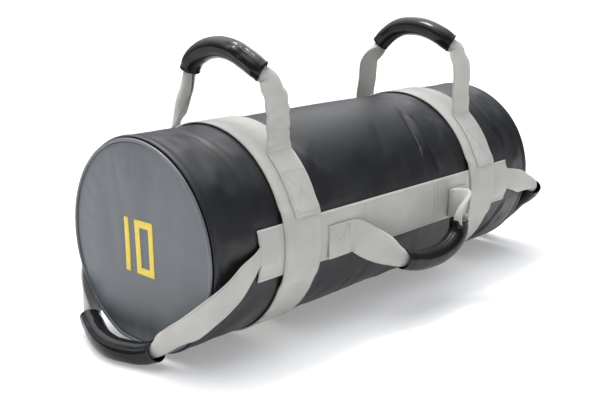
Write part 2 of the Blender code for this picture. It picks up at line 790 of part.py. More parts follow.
def side_handle(prefix, side):
    root = on_bag(0, side, side_root_angle(), on_strap(0))
    points = []
    for along, out, down in SIDE_SHARES:
        points.append(Vector((along * SIDE_ROOT_HALF_SPAN, root.y + side * out * SIDE_REACH,
                              root.z - down * SIDE_DROP)))
    points[0].x += SEAM_GAP
    grip = (SIDE_GRIP_SHARE, SIDE_GRIP_LENGTH)
    ramps = (HANDLE_LONG_ROLL_LENGTH, HANDLE_ROLL_LENGTH)
    handle(prefix, root, points, Vector((0, 0, 1)), grip, ramps, (0, 0), HANDLE_WEBBING_WIDTH)
    near = -SIDE_ROOT_HALF_SPAN
    side_tail(prefix + "_near_tail", side, near - SIDE_TAIL_LENGTH, near)
    far = SIDE_ROOT_HALF_SPAN + WEBBING_THICKNESS / 2 + SEAM_GAP
    side_tail(prefix + "_far_tail", side, far, far + SIDE_TAIL_LENGTH)


def end_handle(prefix, end, shares, grip_share, ramps, folded):
    root = on_bag(0, 1, end_root_angle(), on_strap(0))
    root_x = STRAP_END_X + SEAM_GAP
    drop = root.z - GRIP_RADIUS - END_FLOOR_GAP
    points = []
    for along, across, down in shares:
        points.append(Vector((end * (root_x + along * END_REACH), across * root.y, root.z - down * drop)))
    hinge = (end * root_x, 0, root.z)
    grip = (grip_share, END_GRIP_LENGTH)
    handle(prefix, hinge, points, Vector((0, 0, 1)), grip, ramps, (0, 0), folded, lying=True)
    end_tail(prefix + "_front_tail", end, -1, folded)
    end_tail(prefix + "_back_tail", end, 1, folded)


def build():
    shell_tube()
    for prefix, end in (("near", -1), ("far", 1)):
        end_panel(prefix + "_end_panel", end)
        piping(prefix + "_piping", end)
        weight_number(prefix, end)
        padding_disc(prefix + "_padding_disc", end)
        sand_pouch(prefix + "_sand_pouch", end)
        sand_fill(prefix + "_sand_fill", end)
        band(prefix + "_band", end * BAND_CENTRE_X)
    padding_sleeve()
    wadding()
    side_strap("front_strap", -1)
    side_strap("back_strap", 1)
    top_handle("near_top", -BAND_CENTRE_X, NEAR_TOP_RISE, NEAR_TOP_SHARES, NEAR_TOP_GRIP_SHARE,
               (NEAR_TOP_FRONT_TWIST, NEAR_TOP_BACK_TWIST))
    top_handle("far_top", BAND_CENTRE_X, FAR_TOP_RISE, FAR_TOP_SHARES, FAR_TOP_GRIP_SHARE, (0, 0))
    side_handle("front_side", -1)
    side_handle("back_side", 1)
    short = HANDLE_ROLL_LENGTH
    long = HANDLE_LONG_ROLL_LENGTH
    end_handle("near_end", -1, NEAR_END_SHARES, NEAR_END_GRIP_SHARE, (short, long), NEAR_END_FOLDED_WIDTH)
    end_handle("far_end", 1, FAR_END_SHARES, FAR_END_GRIP_SHARE, (long, short), FAR_END_FOLDED_WIDTH)


clear_scene()
collection = bpy.data.collections.new("sandbag_trainer")
bpy.context.scene.collection.children.link(collection)
materials = make_materials()
build()
bpy.context.view_layer.update()
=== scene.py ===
# %% [markdown]
# # Sandbag trainer
#
# This notebook dresses a training sandbag: a stuffed leatherette drum held by two webbing bands and a
# webbing strap along each side, with six webbing handles and their padded grips. The CAD frame gives
# the places and the joints. Every cell adds one piece or one finish, and says why it is made that way.

# %% Load the frame
import math

import bmesh
import bpy
from mathutils import Matrix, Vector, noise
from mathutils.bvhtree import BVHTree


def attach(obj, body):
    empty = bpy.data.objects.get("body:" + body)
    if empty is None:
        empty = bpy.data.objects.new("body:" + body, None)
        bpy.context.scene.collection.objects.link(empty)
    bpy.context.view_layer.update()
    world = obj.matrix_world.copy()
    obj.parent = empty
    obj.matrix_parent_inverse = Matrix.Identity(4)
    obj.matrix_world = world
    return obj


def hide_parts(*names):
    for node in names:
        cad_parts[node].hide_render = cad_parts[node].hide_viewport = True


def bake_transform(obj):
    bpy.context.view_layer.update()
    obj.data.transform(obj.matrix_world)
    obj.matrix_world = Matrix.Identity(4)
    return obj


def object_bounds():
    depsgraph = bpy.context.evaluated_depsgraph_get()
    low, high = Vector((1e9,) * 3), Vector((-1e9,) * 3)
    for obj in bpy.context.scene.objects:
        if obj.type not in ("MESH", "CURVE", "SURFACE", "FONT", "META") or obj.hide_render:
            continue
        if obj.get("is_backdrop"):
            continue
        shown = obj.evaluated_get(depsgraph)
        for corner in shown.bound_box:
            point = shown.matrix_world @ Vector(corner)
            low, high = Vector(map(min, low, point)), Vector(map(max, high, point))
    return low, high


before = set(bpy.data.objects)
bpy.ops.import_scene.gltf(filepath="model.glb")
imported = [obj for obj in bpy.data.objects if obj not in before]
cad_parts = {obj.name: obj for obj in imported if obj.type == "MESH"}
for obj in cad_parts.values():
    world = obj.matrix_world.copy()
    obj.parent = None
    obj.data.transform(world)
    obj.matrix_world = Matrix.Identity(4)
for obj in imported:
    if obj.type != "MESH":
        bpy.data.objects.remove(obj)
cad_low, cad_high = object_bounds()
print("CAD box in mm:", [round(c * 1000, 1) for c in cad_high - cad_low])


def in_scene(name, data):
    item = bpy.data.objects.new(name, data)
    bpy.context.scene.collection.objects.link(item)
    return item


# %% [markdown]
# ## Camera
#
# The camera stands low and to the near left of the bag, so that the numbered end and the front side
# both show. A long lens keeps the drum's edges almost parallel. Its place and turn were fitted to the
# drum's outlines in a photograph, so they aren't round numbers.

# %% Camera
CAMERA_PLACE = (-0.9002, -0.7920, 0.4261)
LOOKING_DOWN = 14.482
LOOKING_ROUND = -46.919

camera_data = bpy.data.cameras.new("camera")
camera_data.lens = 54.62
camera_data.sensor_width = 36
camera_data.clip_start = 0.01
camera_data.clip_end = 60
camera = in_scene("camera", camera_data)
camera.location = CAMERA_PLACE
camera.rotation_euler = (math.radians(90 - LOOKING_DOWN), 0, math.radians(LOOKING_ROUND))
bpy.context.scene.camera = camera
bpy.context.scene.view_settings.view_transform = "Standard"
print("camera at", CAMERA_PLACE, "m")


# %% [markdown]
# ## Helpers for materials
#
# Colours are picked in sRGB, as a screen shows them, but shaders mix linear light. One function turns
# a hex code to linear values. A second one adds a node, sets its values and makes its links, so that
# each material below reads as a short list. Every surface here ends in the same way: two colours that
# a pattern mixes, and a bump that the pattern raises, so one function makes that end.

# %% Colour and node helpers
def linear(hex_colour):
    channels = [int(hex_colour[i:i + 2], 16) / 255 for i in (1, 3, 5)]
    return [c / 12.92 if c <= 0.04045 else ((c + 0.055) / 1.055) ** 2.4 for c in channels] + [1]


def add(owner, kind, settings=None, sockets=None):
    node = owner.node_tree.nodes.new("ShaderNode" + kind)
    for name, value in (settings or {}).items():
        setattr(node, name, value)
    for name, value in (sockets or {}).items():
        if isinstance(value, bpy.types.NodeSocket):
            owner.node_tree.links.new(value, node.inputs[name])
        else:
            node.inputs[name].default_value = value
    return node


def new_material(name, hex_colour, roughness, even=None):
    # even holds the shader's other values that are the same all over.
    material = bpy.data.materials.new(name)
    material.use_nodes = True
    shader = material.node_tree.nodes["Principled BSDF"]
    values = {"Base Color": linear(hex_colour), "Roughness": roughness, **(even or {})}
    for socket, value in values.items():
        shader.inputs[socket].default_value = value
    print("material", name)
    return material, shader


def colour_and_relief(material, shader, shade, colours, marks, height, strength, depth):
    tint = add(material, "ValToRGB", sockets={"Fac": shade})
    for stop, mark, colour in zip(tint.color_ramp.elements, marks, colours):
        stop.position, stop.color = mark, linear(colour)
    bump = add(material, "Bump", sockets={"Height": height, "Strength": strength, "Distance": depth})
    material.node_tree.links.new(tint.outputs["Color"], shader.inputs["Base Color"])
    material.node_tree.links.new(bump.outputs["Normal"], shader.inputs["Normal"])


# %% [markdown]
# ## Floor
#
# The floor is a wide sheet of pale studio paper. It does half of the lighting: it throws light up
# under the bag, which is why the underside of a black bag in a studio looks greyer than its front. A
# faint glow of its own stands for the extra lamps that a studio turns on the backdrop.

# %% Floor
FLOOR_HALF = 20
floor_material, _ = new_material("pale_studio_paper", "#dcdcdc", 0.9, {
    "Specular IOR Level": 0.1, "Emission Color": linear("#ffffff"), "Emission Strength": 0.29})
bm = bmesh.new()
bmesh.ops.create_grid(bm, x_segments=1, y_segments=1, size=FLOOR_HALF)
floor_mesh = bpy.data.meshes.new("floor")
bm.to_mesh(floor_mesh)
bm.free()
floor_mesh.materials.append(floor_material)
floor = in_scene("floor", floor_mesh)
floor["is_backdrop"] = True

# %% [markdown]
# ## Sky and softboxes
#
# The room is bright overhead and behind the bag and dim near the horizon, as under one wide softbox.
# A colour ramp draws it, read by how far a direction leans towards the softbox. Three small softboxes
# add the highlights: along the drum from behind, on the webbing from the camera's side, and the
# broken gleam on the near grip from overhead.

# %% Sky
SOFTBOX_WAY = (0.04, 0.34, 0.94)
SKY_STRENGTH = 2.7
SKY = [(0.001, (0.08, 0.08, 0.085)), (0.42, (0.07, 0.072, 0.078)), (0.62, (0.28, 0.30, 0.34)),
       (0.80, (0.70, 0.72, 0.75)), (0.999, (1.45, 1.42, 1.37))]

world = bpy.data.worlds.new("studio")
bpy.context.scene.world = world
world.use_nodes = True
way = add(world, "TexCoord").outputs["Generated"]
lean = add(world, "VectorMath", {"operation": "DOT_PRODUCT"}, {0: way, 1: SOFTBOX_WAY})
ramp = add(world, "ValToRGB", sockets={"Fac": lean.outputs["Value"]})
marks = ramp.color_ramp.elements
for position, colour in SKY:
    marks.new(position).color = colour + (1,)
for unused in (marks[-1], marks[0]):
    marks.remove(unused)
background = world.node_tree.nodes["Background"]
world.node_tree.links.new(ramp.outputs["Color"], background.inputs["Color"])
background.inputs["Strength"].default_value = SKY_STRENGTH

# %% Softboxes
# Name, place, what it points at, size in metres, power in watts, colour.
SOFTBOXES = [
    ("back_softbox", (2.1, 1.2, 1.5), (0, 0, 0.2), (1.2, 0.8), 4.8, (1.0, 0.98, 0.96)),
    ("camera_side_softbox", (-2.2, -1.7, 1.3), (-0.2, 0, 0.1), (1.4, 1.2), 1.8, (1.0, 1.0, 1.0)),
    ("overhead_softbox", (0.0, 0.45, 1.8), (-0.18, 0, 0.3), (0.50, 0.20), 10, (1.0, 1.0, 1.0)),
]
for name, place, target, size, watts, colour in SOFTBOXES:
    light = bpy.data.lights.new(name, "AREA")
    light.shape = "RECTANGLE"
    light.size, light.size_y = size
    light.energy = watts
    light.color = colour
    item = in_scene(name, light)
    item.location = place
    item.rotation_euler = (Vector(target) - Vector(place)).to_track_quat("-Z", "Y").to_euler()
    print(name, watts, "W")

# %% [markdown]
# ## Black and grey leatherette
#
# The skin is PU leatherette: a polyester cloth with a thin plastic coat that is pressed with a fine
# grain while warm. The coat is dielectric, IOR about 1.5, and neither gloss nor matt, so a broad soft
# highlight runs along the drum. Real grain cells are about 0.6 mm wide. That is too fine to show from
# this camera, so they are drawn 1.4 mm wide. Wear shows as faint cloudy patches of roughness. The
# grips' sleeves are a smoother kind with a polished coat.


# %% Leatherette
def leatherette(name, dark, light, roughness, cell, depth, even=None):
    material, shader = new_material(name, dark, roughness, even)
    where = add(material, "TexCoord").outputs["Object"]
    cloud = add(material, "TexNoise", sockets={"Vector": where, "Scale": 14.0, "Detail": 3.0})
    wear = add(material, "MapRange", sockets={
        "Value": cloud.outputs["Fac"], "From Min": 0.3, "From Max": 0.7,
        "To Min": roughness - 0.05, "To Max": roughness + 0.06})
    material.node_tree.links.new(wear.outputs["Result"], shader.inputs["Roughness"])
    grain = add(material, "TexVoronoi", {"feature": "SMOOTH_F1"}, {"Vector": where, "Scale": 1 / cell})
    pores = add(material, "TexNoise", sockets={"Vector": where, "Scale": 2.5 / cell, "Detail": 2.0})
    height = add(material, "Math", {"operation": "ADD"},
                 {0: grain.outputs["Distance"], 1: pores.outputs["Fac"]})
    colour_and_relief(material, shader, cloud.outputs["Fac"], (dark, light), (0.35, 0.7),
                      height.outputs["Value"], 0.35, depth)
    return material


black_leatherette = leatherette("black_pu_leatherette", "#151618", "#1c1d20", 0.42, 0.0014, 0.00025,
                                {"Specular IOR Level": 0.45})
grey_leatherette = leatherette("grey_pu_leatherette", "#626569", "#6c7074", 0.48, 0.0014, 0.0003)
piping_leatherette = leatherette("glossy_piping_leatherette", "#65686c", "#6f7377", 0.26, 0.0014, 0.0001)
grip_leatherette = leatherette(
    "padded_grip_leatherette", "#121213", "#19191b", 0.27, 0.0010, 0.00015,
    {"Specular IOR Level": 0.05, "Coat Weight": 0.42, "Coat Roughness": 0.10})

# %% [markdown]
# ## Webbing
#
# The bands, straps and handles are heavy polyester webbing, woven on a narrow loom. Its face shows
# fine ribs that lean one way and then the other in columns, a chevron. The weave follows the strip,
# so it is drawn from a UV map that is measured in metres: U runs along the strip and V across it. A
# real rib is about 0.9 mm wide, and here it is 1.5 mm, so that it survives at this distance.


# %% Webbing material
def woven(name, dark, light, rib, column, depth):
    material, shader = new_material(name, light, 0.78, {"Sheen Weight": 0.25, "Sheen Roughness": 0.4})
    where = add(material, "UVMap", {"uv_map": "weave"}).outputs["UV"]
    split = add(material, "SeparateXYZ", sockets={0: where})
    fold = add(material, "Math", {"operation": "PINGPONG"}, {0: split.outputs["Y"], 1: column})
    lean = add(material, "Math", {"operation": "ADD"}, {0: split.outputs["X"], 1: fold.outputs["Value"]})
    turns = add(material, "Math", {"operation": "MULTIPLY"},
                {0: lean.outputs["Value"], 1: math.tau / rib})
    wave = add(material, "Math", {"operation": "SINE"}, {0: turns.outputs["Value"]})
    fuzz = add(material, "TexNoise", sockets={"Vector": where, "Scale": 1 / rib, "Detail": 3.0})
    height = add(material, "Math", {"operation": "ADD"},
                 {0: wave.outputs["Value"], 1: fuzz.outputs["Fac"]})
    stain = add(material, "TexNoise", sockets={"Vector": where, "Scale": 22.0, "Detail": 2.0})
    shade = add(material, "Math", {"operation": "MULTIPLY_ADD"},
                {0: wave.outputs["Value"], 1: 0.16, 2: stain.outputs["Fac"]})
    colour_and_relief(material, shader, shade.outputs["Value"], (dark, light), (0.25, 0.7),
                      height.outputs["Value"], 0.4, depth)
    return material


webbing = woven("woven_polyester_webbing", "#b8b6b1", "#cac8c2", 0.0015, 0.0036, 0.0003)

# %% [markdown]
# ## Small finishes
#
# The number is screen printed in plastisol ink, a soft vinyl that lies on the leatherette like paint.
# The threads are bonded polyester, twisted and glued. Inside the bag are closed-cell foam, shredded
# textile, plain woven pouch cloth and washed sand. Nobody sees them in use, but they get their own
# finish, because the part may be opened. All of them are a fine speckle of two near colours.


# %% Print, thread and filling materials
def speckled(name, dark, light, roughness, grain, depth):
    material, shader = new_material(name, dark, roughness)
    where = add(material, "TexCoord").outputs["Object"]
    spots = add(material, "TexNoise", sockets={"Vector": where, "Scale": 1 / grain, "Detail": 4.0})
    shade = spots.outputs["Fac"]
    colour_and_relief(material, shader, shade, (dark, light), (0.3, 0.7), shade, 0.5, depth)
    return material


yellow_print = speckled("yellow_plastisol_print", "#e3c545", "#f0d662", 0.5, 0.004, 0.0001)
grey_thread = speckled("grey_bonded_thread", "#a9a8a3", "#bdbbb5", 0.6, 0.001, 0.0001)
black_thread = speckled("black_bonded_thread", "#1b1b1d", "#2a2a2d", 0.5, 0.001, 0.0001)
grey_foam = speckled("closed_cell_foam", "#3b3b3d", "#58585b", 0.95, 0.003, 0.0006)
wadding = speckled("shredded_textile_wadding", "#6d675e", "#a59c8c", 0.95, 0.006, 0.002)
pouch_cloth = speckled("plain_pouch_cloth", "#2a3240", "#3d4759", 0.85, 0.0012, 0.0002)
dry_sand = speckled("dry_sand", "#9c8561", "#d2bc93", 1.0, 0.0012, 0.0005)

# %% [markdown]
# ## Finishing a piece
#
# Each piece ends up as a mesh object at the origin that rides on the CAD body it is given and stands
# for the CAD solids that it replaces. Cloth is drawn as one sheet, and Solidify gives it its thickness.


# %% Piece helpers
LEATHERETTE = 0.0009
WEBBING = 0.0019


def piece(name, bm, material, body, slot, stands_for=()):
    mesh = bpy.data.meshes.new(name)
    bm.to_mesh(mesh)
    bm.free()
    mesh.materials.append(material)
    mesh.shade_smooth()
    item = in_scene(name, mesh)
    if body:
        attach(item, body)
    if stands_for:
        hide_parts(*stands_for)
    print(name, "has", len(mesh.polygons), "faces")
    return item


def thicken(item, thickness, offset, even=True):
    wall = item.modifiers.new("wall", "SOLIDIFY")
    wall.thickness = thickness
    wall.offset = offset
    wall.use_even_offset = even


def apply_modifiers(item):
    bpy.context.view_layer.update()
    graph = bpy.context.evaluated_depsgraph_get()
    mesh = bpy.data.meshes.new_from_object(item.evaluated_get(graph))
    item.modifiers.clear()
    old = item.data
    item.data = mesh
    bpy.data.meshes.remove(old)
    mesh.name = item.name


def refine(item):
    finer = item.modifiers.new("finer", "SUBSURF")
    finer.levels = finer.render_levels = 1
    apply_modifiers(item)


# %% [markdown]
# ## The drum's shape
#
# All soft pieces share one rule for where the bag's surface is. A point is given by its place along
# the bag, its angle round it (0 at the front, 90 at the top) and its distance from the axis. The bag
# lies on the floor on its bands, so whatever would hang lower is pressed up, softly at the edge of
# the pressed patch. Under a side strap the bands stand off by one layer. All measures are in metres.

# %% Shape of the drum
ENDS = (("near", -1), ("far", 1))
SIDES = (("front", -1), ("back", 1))
BAG_RADIUS = 0.125
BAG_END = 0.317
LAYER = 0.0023
BAND_OUTER = 0.1273
AXIS_HEIGHT = LAYER + math.sqrt(BAG_RADIUS ** 2 - 0.035 ** 2)
BAND_X = 0.1844
BAND_WIDTH = 0.0584
STRAP_END = 0.2515
STRAP_HALF = 0.0292
HANDLE_WIDTH = 0.040
SKIN_GAP = 0.0003


def clamp(value):
    return min(max(value, 0), 1)


def smooth_step(value):
    value = clamp(value)
    return value * value * (3 - 2 * value)


def uneven(x, y, z):
    # A smooth random value from -1 to 1, the same in every run.
    return noise.noise(Vector((x, y, z)))


def pressed(z, level, soft=0.005):
    # The larger of z and level, with a soft corner between the two.
    under = level - z
    if under <= -soft:
        return z
    if under >= soft:
        return level
    return z + (under + soft) ** 2 / (4 * soft)


def on_drum(x, angle, radius):
    y = -radius * math.cos(angle)
    return Vector((x, y, pressed(AXIS_HEIGHT + radius * math.sin(angle), BAND_OUTER - radius)))


def outward(angle):
    return Vector((0, -math.cos(angle), math.sin(angle)))


def drum_angle(point):
    return math.atan2(point.z - AXIS_HEIGHT, -point.y)


def from_side(angle):
    # How far an angle is from the nearer side's mid height.
    return abs(math.asin(math.sin(angle)))


def band_lift(angle):
    # How far a band stands off where it crosses a side strap.
    return LAYER * smooth_step((math.radians(23) - from_side(angle)) / math.radians(6.5))


print("axis", round(AXIS_HEIGHT * 1000, 1), "mm above the floor")


# %% [markdown]
# ## Stuffing a cover with cloth simulation
#
# A stuffed cover is cloth under pressure that is held along its seams. Blender's Cloth does that: the
# seams are a pin group, gravity is off because the filling carries the weight, and the pressure
# pushes the free cloth out until it is taut. The result is capped, so that a cover never leaves the
# space that the CAD gives it, and is then written into the mesh.

# %% Cloth helper
CLOTH_FRAMES = 18
CLOTH = {"vertex_group_mass": "seams", "quality": 6, "mass": 0.3, "tension_stiffness": 25,
         "compression_stiffness": 25, "shear_stiffness": 10, "bending_stiffness": 0.6,
         "use_pressure": True}


def stuff(item, pins, pressure, slack, cap):
    group = item.vertex_groups.new(name="seams")
    for index, weight in enumerate(pins):
        group.add([index], weight, "REPLACE")
    cloth = item.modifiers.new("stuffing", "CLOTH")
    settings = {**CLOTH, "shrink_min": -slack, "uniform_pressure_force": pressure}
    for name, value in settings.items():
        setattr(cloth.settings, name, value)
    cloth.settings.effector_weights.gravity = 0
    cloth.collision_settings.use_collision = False
    cloth.point_cache.frame_start = 1
    cloth.point_cache.frame_end = CLOTH_FRAMES
    rest = [v.co.copy() for v in item.data.vertices]
    for step in range(1, CLOTH_FRAMES + 1):
        bpy.context.scene.frame_set(step)
    graph = bpy.context.evaluated_depsgraph_get()
    swollen = [v.co.copy() for v in item.evaluated_get(graph).data.vertices]
    item.modifiers.clear()
    item.vertex_groups.clear()
    moved = 0
    for vert, before, after in zip(item.data.vertices, rest, swollen):
        step = after - before
        if step.length > cap:
            step *= cap / step.length
        moved = max(moved, step.length)
        vert.co = before + step
    bpy.context.scene.frame_set(1)
    print(item.name, "moved at most", round(moved * 1000, 2), "mm")


def close_cover(item, node):
    # Gives a stuffed cover its thickness and its place in the model.
    thicken(item, LEATHERETTE, -1)
    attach(item, "bag")
    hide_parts(node)


# %% [markdown]
# ## The black cover
#
# The cover is one tube of leatherette, sewn to the end covers through a piping cord. A profile is
# spun round the drum's axis: the turned-in edge, the ridge that the seam leaves 6 mm from the end, a
# shallow hollow behind it, and then the straight body. Cloth simulation lets the free stretches
# between the bands swell a little, and the pins hold it where a band, a strap or the floor does.

# %% Cover
# Depth from the bag's end, radius.
RIM = [(0.0062, 0.1178), (0.0048, 0.1200), (0.0038, 0.1218), (0.0031, 0.1230), (0.0035, 0.1240),
       (0.0050, 0.1249), (0.0072, 0.1253), (0.0098, 0.1248), (0.0125, 0.1240), (0.0160, 0.1241)]
BODY_STEPS = 78
ROUND_STEPS = 120
SEAM_DEPTH = 0.0115
FLOOR_BELOW_AXIS = 0.118
HOLD_FADE = 0.010


def spin_round(bm, geom, steps):
    # Turns points and edges about the drum's axis, laid on the origin for now.
    bmesh.ops.spin(bm, geom=geom, cent=(0, 0, 0), axis=(1, 0, 0), angle=math.tau, steps=steps,
                   use_merge=True)
    bmesh.ops.remove_doubles(bm, verts=bm.verts, dist=1e-6)
    bmesh.ops.recalc_face_normals(bm, faces=bm.faces)


def spun(profile, steps):
    bm = bmesh.new()
    verts = [bm.verts.new((x, -radius, 0)) for x, radius in profile]
    edges = [bm.edges.new(pair) for pair in zip(verts, verts[1:])]
    spin_round(bm, verts + edges, steps)
    return bm


def lift_to_axis(bm, press=True):
    # Lifts a shape spun at the origin to the drum's axis, and presses it on the floor.
    for vert in bm.verts:
        radius = math.hypot(vert.co.y, vert.co.z)
        height = AXIS_HEIGHT + vert.co.z
        vert.co.z = pressed(height, BAND_OUTER - radius) if press else height


def held_down(point):
    # 1 where a band, a strap, a seam or the floor holds the cover, 0 where it is free.
    to_band = abs(abs(point.x) - BAND_X) - BAND_WIDTH / 2
    to_strap = from_side(drum_angle(point)) * BAG_RADIUS - STRAP_HALF
    if abs(point.x) > STRAP_END:
        to_strap = 1
    to_seam = BAG_END - SEAM_DEPTH - abs(point.x)
    to_floor = point.z - AXIS_HEIGHT + FLOOR_BELOW_AXIS
    return 1 - smooth_step(min(to_band, to_strap, to_seam, to_floor) / HOLD_FADE)


start = BAG_END - RIM[-1][0]
rim = [(-BAG_END + depth, radius) for depth, radius in RIM]
body = [(-start + 2 * start * i / BODY_STEPS, BAG_RADIUS - 0.0006) for i in range(1, BODY_STEPS)]
bm = spun(rim + body + [(-x, radius) for x, radius in reversed(rim)], ROUND_STEPS)
lift_to_axis(bm)
cover = piece("bag_cover", bm, black_leatherette, None, "black_leatherette")
stuff(cover, [held_down(v.co) for v in cover.data.vertices], pressure=2.0, slack=0.004, cap=0.0022)
refine(cover)

# %% [markdown]
# ## Creases
#
# Each crease is a line of points along the bag and round it, with a depth and a width. A crease is a
# valley with a low ridge on one side, and it fades out at both ends. The places come from the real
# bag: a long one half way to the near end, some short ones beside the far band, and one at the far
# end. The far side gets a few of the same kind. They are moves of the finished mesh, because a
# simulation would put them somewhere else.

# %% Creases
# Points as (place along, degrees round), then depth and width.
CREASES = [
    ([(-0.2620, 92), (-0.2603, 82), (-0.2580, 66), (-0.2519, 52), (-0.2486, 38), (-0.2446, 25),
      (-0.243, 17)], 0.0015, 0.0050),
    ([(0.2500, 72), (0.2514, 61), (0.2522, 40), (0.2552, 30), (0.2560, 18)], 0.0024, 0.0040),
    ([(0.2600, -10), (0.2583, -13), (0.2500, -28), (0.2381, -40), (0.2300, -50)], 0.0024, 0.0045),
    ([(0.0905, 70), (0.0855, 63), (0.0740, 45), (0.0710, 31), (0.0726, 19)], 0.0040, 0.0036),
    ([(0.0850, 58), (0.0810, 50), (0.0777, 32), (0.0889, 14)], 0.0032, 0.0036),
    ([(0.2290, 84), (0.2340, 62), (0.2370, 44), (0.2400, 32)], 0.0010, 0.0040),
    ([(-0.1320, 60), (-0.1290, 44), (-0.1310, 26)], 0.0007, 0.0045),
    ([(0.0300, -40), (0.0220, -52), (0.0260, -66)], 0.0008, 0.0045),
    ([(-0.0700, -30), (-0.0780, -44), (-0.0760, -58)], 0.0007, 0.0050),
    ([(-0.2620, 120), (-0.2560, 138), (-0.2520, 158)], 0.0011, 0.0045),
    ([(-0.0900, 118), (-0.0800, 134), (-0.0830, 152)], 0.0014, 0.0036),
    ([(0.1040, 112), (0.0970, 130), (0.1000, 150)], 0.0012, 0.0038),
    ([(0.2560, 116), (0.2520, 134), (0.2560, 156)], 0.0012, 0.0040),
    ([(0.0100, 202), (0.0040, 216), (0.0100, 230)], 0.0010, 0.0042),
]


def lengths_of(route):
    lengths = [0]
    for a, b in zip(route, route[1:]):
        lengths.append(lengths[-1] + (b - a).length)
    return lengths


crease_lines = []
for points, depth, width in CREASES:
    flat = [Vector((x, math.radians(turn) * BAG_RADIUS, 0)) for x, turn in points]
    crease_lines.append((flat, lengths_of(flat), depth, width))


def crease_move(x, around):
    here = Vector((x, around, 0))
    move = 0
    for flat, lengths, depth, width in crease_lines:
        best, at, side = 1, 0, 0
        for a, b, travelled in zip(flat, flat[1:], lengths):
            step = b - a
            share = clamp((here - a).dot(step) / step.length_squared)
            gap = here - (a + step * share)
            if gap.length < best:
                best = gap.length
                at = travelled + step.length * share
                side = math.copysign(1, step.x * gap.y - step.y * gap.x)
        if best < 5 * width:
            fading = 0.3 * lengths[-1]
            fade = smooth_step(at / fading) * smooth_step((lengths[-1] - at) / fading)
            valley = math.exp(-(best / width) ** 2)
            ridge = math.exp(-((best * side - 1.7 * width) / width) ** 2)
            move += depth * fade * (0.85 * ridge - valley)
    return move


for vert in cover.data.vertices:
    angle = drum_angle(vert.co)
    move = 0.0007 * uneven(vert.co.x * 9, vert.co.y * 14, vert.co.z * 14)
    for turn in (angle, angle + math.tau):
        move += crease_move(vert.co.x, turn * BAG_RADIUS)
    vert.co += outward(angle) * move * (1 - held_down(vert.co))
    vert.co.z = max(vert.co.z, LAYER)
close_cover(cover, "shell_tube")
print(len(CREASES), "creases")

# %% [markdown]
# ## End covers
#
# Each end is a disc of grey leatherette over a foam disc. A square grid is rounded into a disc, which
# gives even faces and no pole in the middle. Its rim is the seam, so it is the pin group, and the
# pressure domes the rest. Faint upright waves are added after, as in leatherette that was drawn
# tighter across than up.

# %% End covers
END_COVER_RADIUS = 0.1187
# Place across, lean, depth, width.
END_WAVES = ((0.046, 0.10, 0.0011, 0.012), (0.020, 0.22, 0.0009, 0.010),
             (-0.022, -0.10, 0.0008, 0.013), (-0.060, -0.2, 0.0007, 0.015))


def face_out(bm, side):
    # Makes the faces of a flat piece look out of the bag's end.
    bmesh.ops.recalc_face_normals(bm, faces=bm.faces)
    bm.normal_update()
    if sum(face.normal.x for face in bm.faces) * side < 0:
        bmesh.ops.reverse_faces(bm, faces=bm.faces)


def end_cover(prefix, side):
    bm = bmesh.new()
    bmesh.ops.create_grid(bm, x_segments=56, y_segments=56, size=1)
    for vert in bm.verts:
        u, v = vert.co.x, vert.co.y
        across = u * math.sqrt(max(1 - v * v / 2, 0))
        up = v * math.sqrt(max(1 - u * u / 2, 0))
        share = min(math.hypot(across, up), 1)
        vert.co = on_drum(0, math.atan2(up, -across), share * END_COVER_RADIUS)
        vert.co.x = side * (BAG_END + 0.0010 - 0.0022 * share ** 6)
    face_out(bm, side)
    item = piece(prefix + "_end_cover", bm, grey_leatherette, None, "grey_leatherette")
    radii = [math.hypot(v.co.y, v.co.z - AXIS_HEIGHT) for v in item.data.vertices]
    pins = [smooth_step((radius - END_COVER_RADIUS + 0.008) / 0.007) for radius in radii]
    stuff(item, pins, pressure=1.2, slack=0.002, cap=0.0016)
    refine(item)
    for vert in item.data.vertices:
        y, z = vert.co.y, vert.co.z - AXIS_HEIGHT
        free = 1 - smooth_step((math.hypot(y, z) - 0.085) / 0.030)
        wave = 0.0005 * uneven(side * 3, y * 16, z * 9)
        for place, lean, depth, width in END_WAVES:
            away = (y * -side - place - lean * (z - 0.03)) / width
            wave -= depth * math.exp(-away * away) * smooth_step((z + 0.045) / 0.05)
        vert.co.x += side * wave * free
    close_cover(item, prefix + "_end_panel")
    return item


end_covers = {side: end_cover(prefix, side) for prefix, side in ENDS}


# %% [markdown]
# ## Piping
#
# The piping is a cord in a strip of grey leatherette, caught in the seam between the end cover and
# the tube. A small ring of points is spun round the axis, and the seam's pull shows as a faint
# unevenness, so the ring isn't a perfect torus.

# %% Piping
PIPING_RADIUS = 0.0021
PIPING_X = 0.3162
PIPING_RING = 0.1203


def piping(prefix, side):
    bm = bmesh.new()
    bmesh.ops.create_circle(bm, segments=12, radius=PIPING_RADIUS)
    bmesh.ops.transform(bm, matrix=Matrix.Rotation(math.pi / 2, 4, "Z"), verts=bm.verts)
    bmesh.ops.translate(bm, vec=(side * PIPING_X, -PIPING_RING, 0), verts=bm.verts)
    spin_round(bm, bm.verts[:] + bm.edges[:], 200)
    for vert in bm.verts:
        angle = math.atan2(vert.co.z, -vert.co.y)
        vert.co.x += side * 0.0003 * uneven(angle * 5, side, 0)
    lift_to_axis(bm)
    piece(prefix + "_piping_cord", bm, piping_leatherette, "bag", "grey_leatherette",
          [prefix + "_piping"])


for prefix, side in ENDS:
    piping(prefix, side)

# %% [markdown]
# ## The weight number
#
# The number is flat outlines, printed a few tenths of a millimetre thick. Bars are rectangles with
# rounded corners, the zero is one with a hole inset in it, and both are cut fine and laid on the end
# cover by casting a ray at it from outside, so they follow its waves.

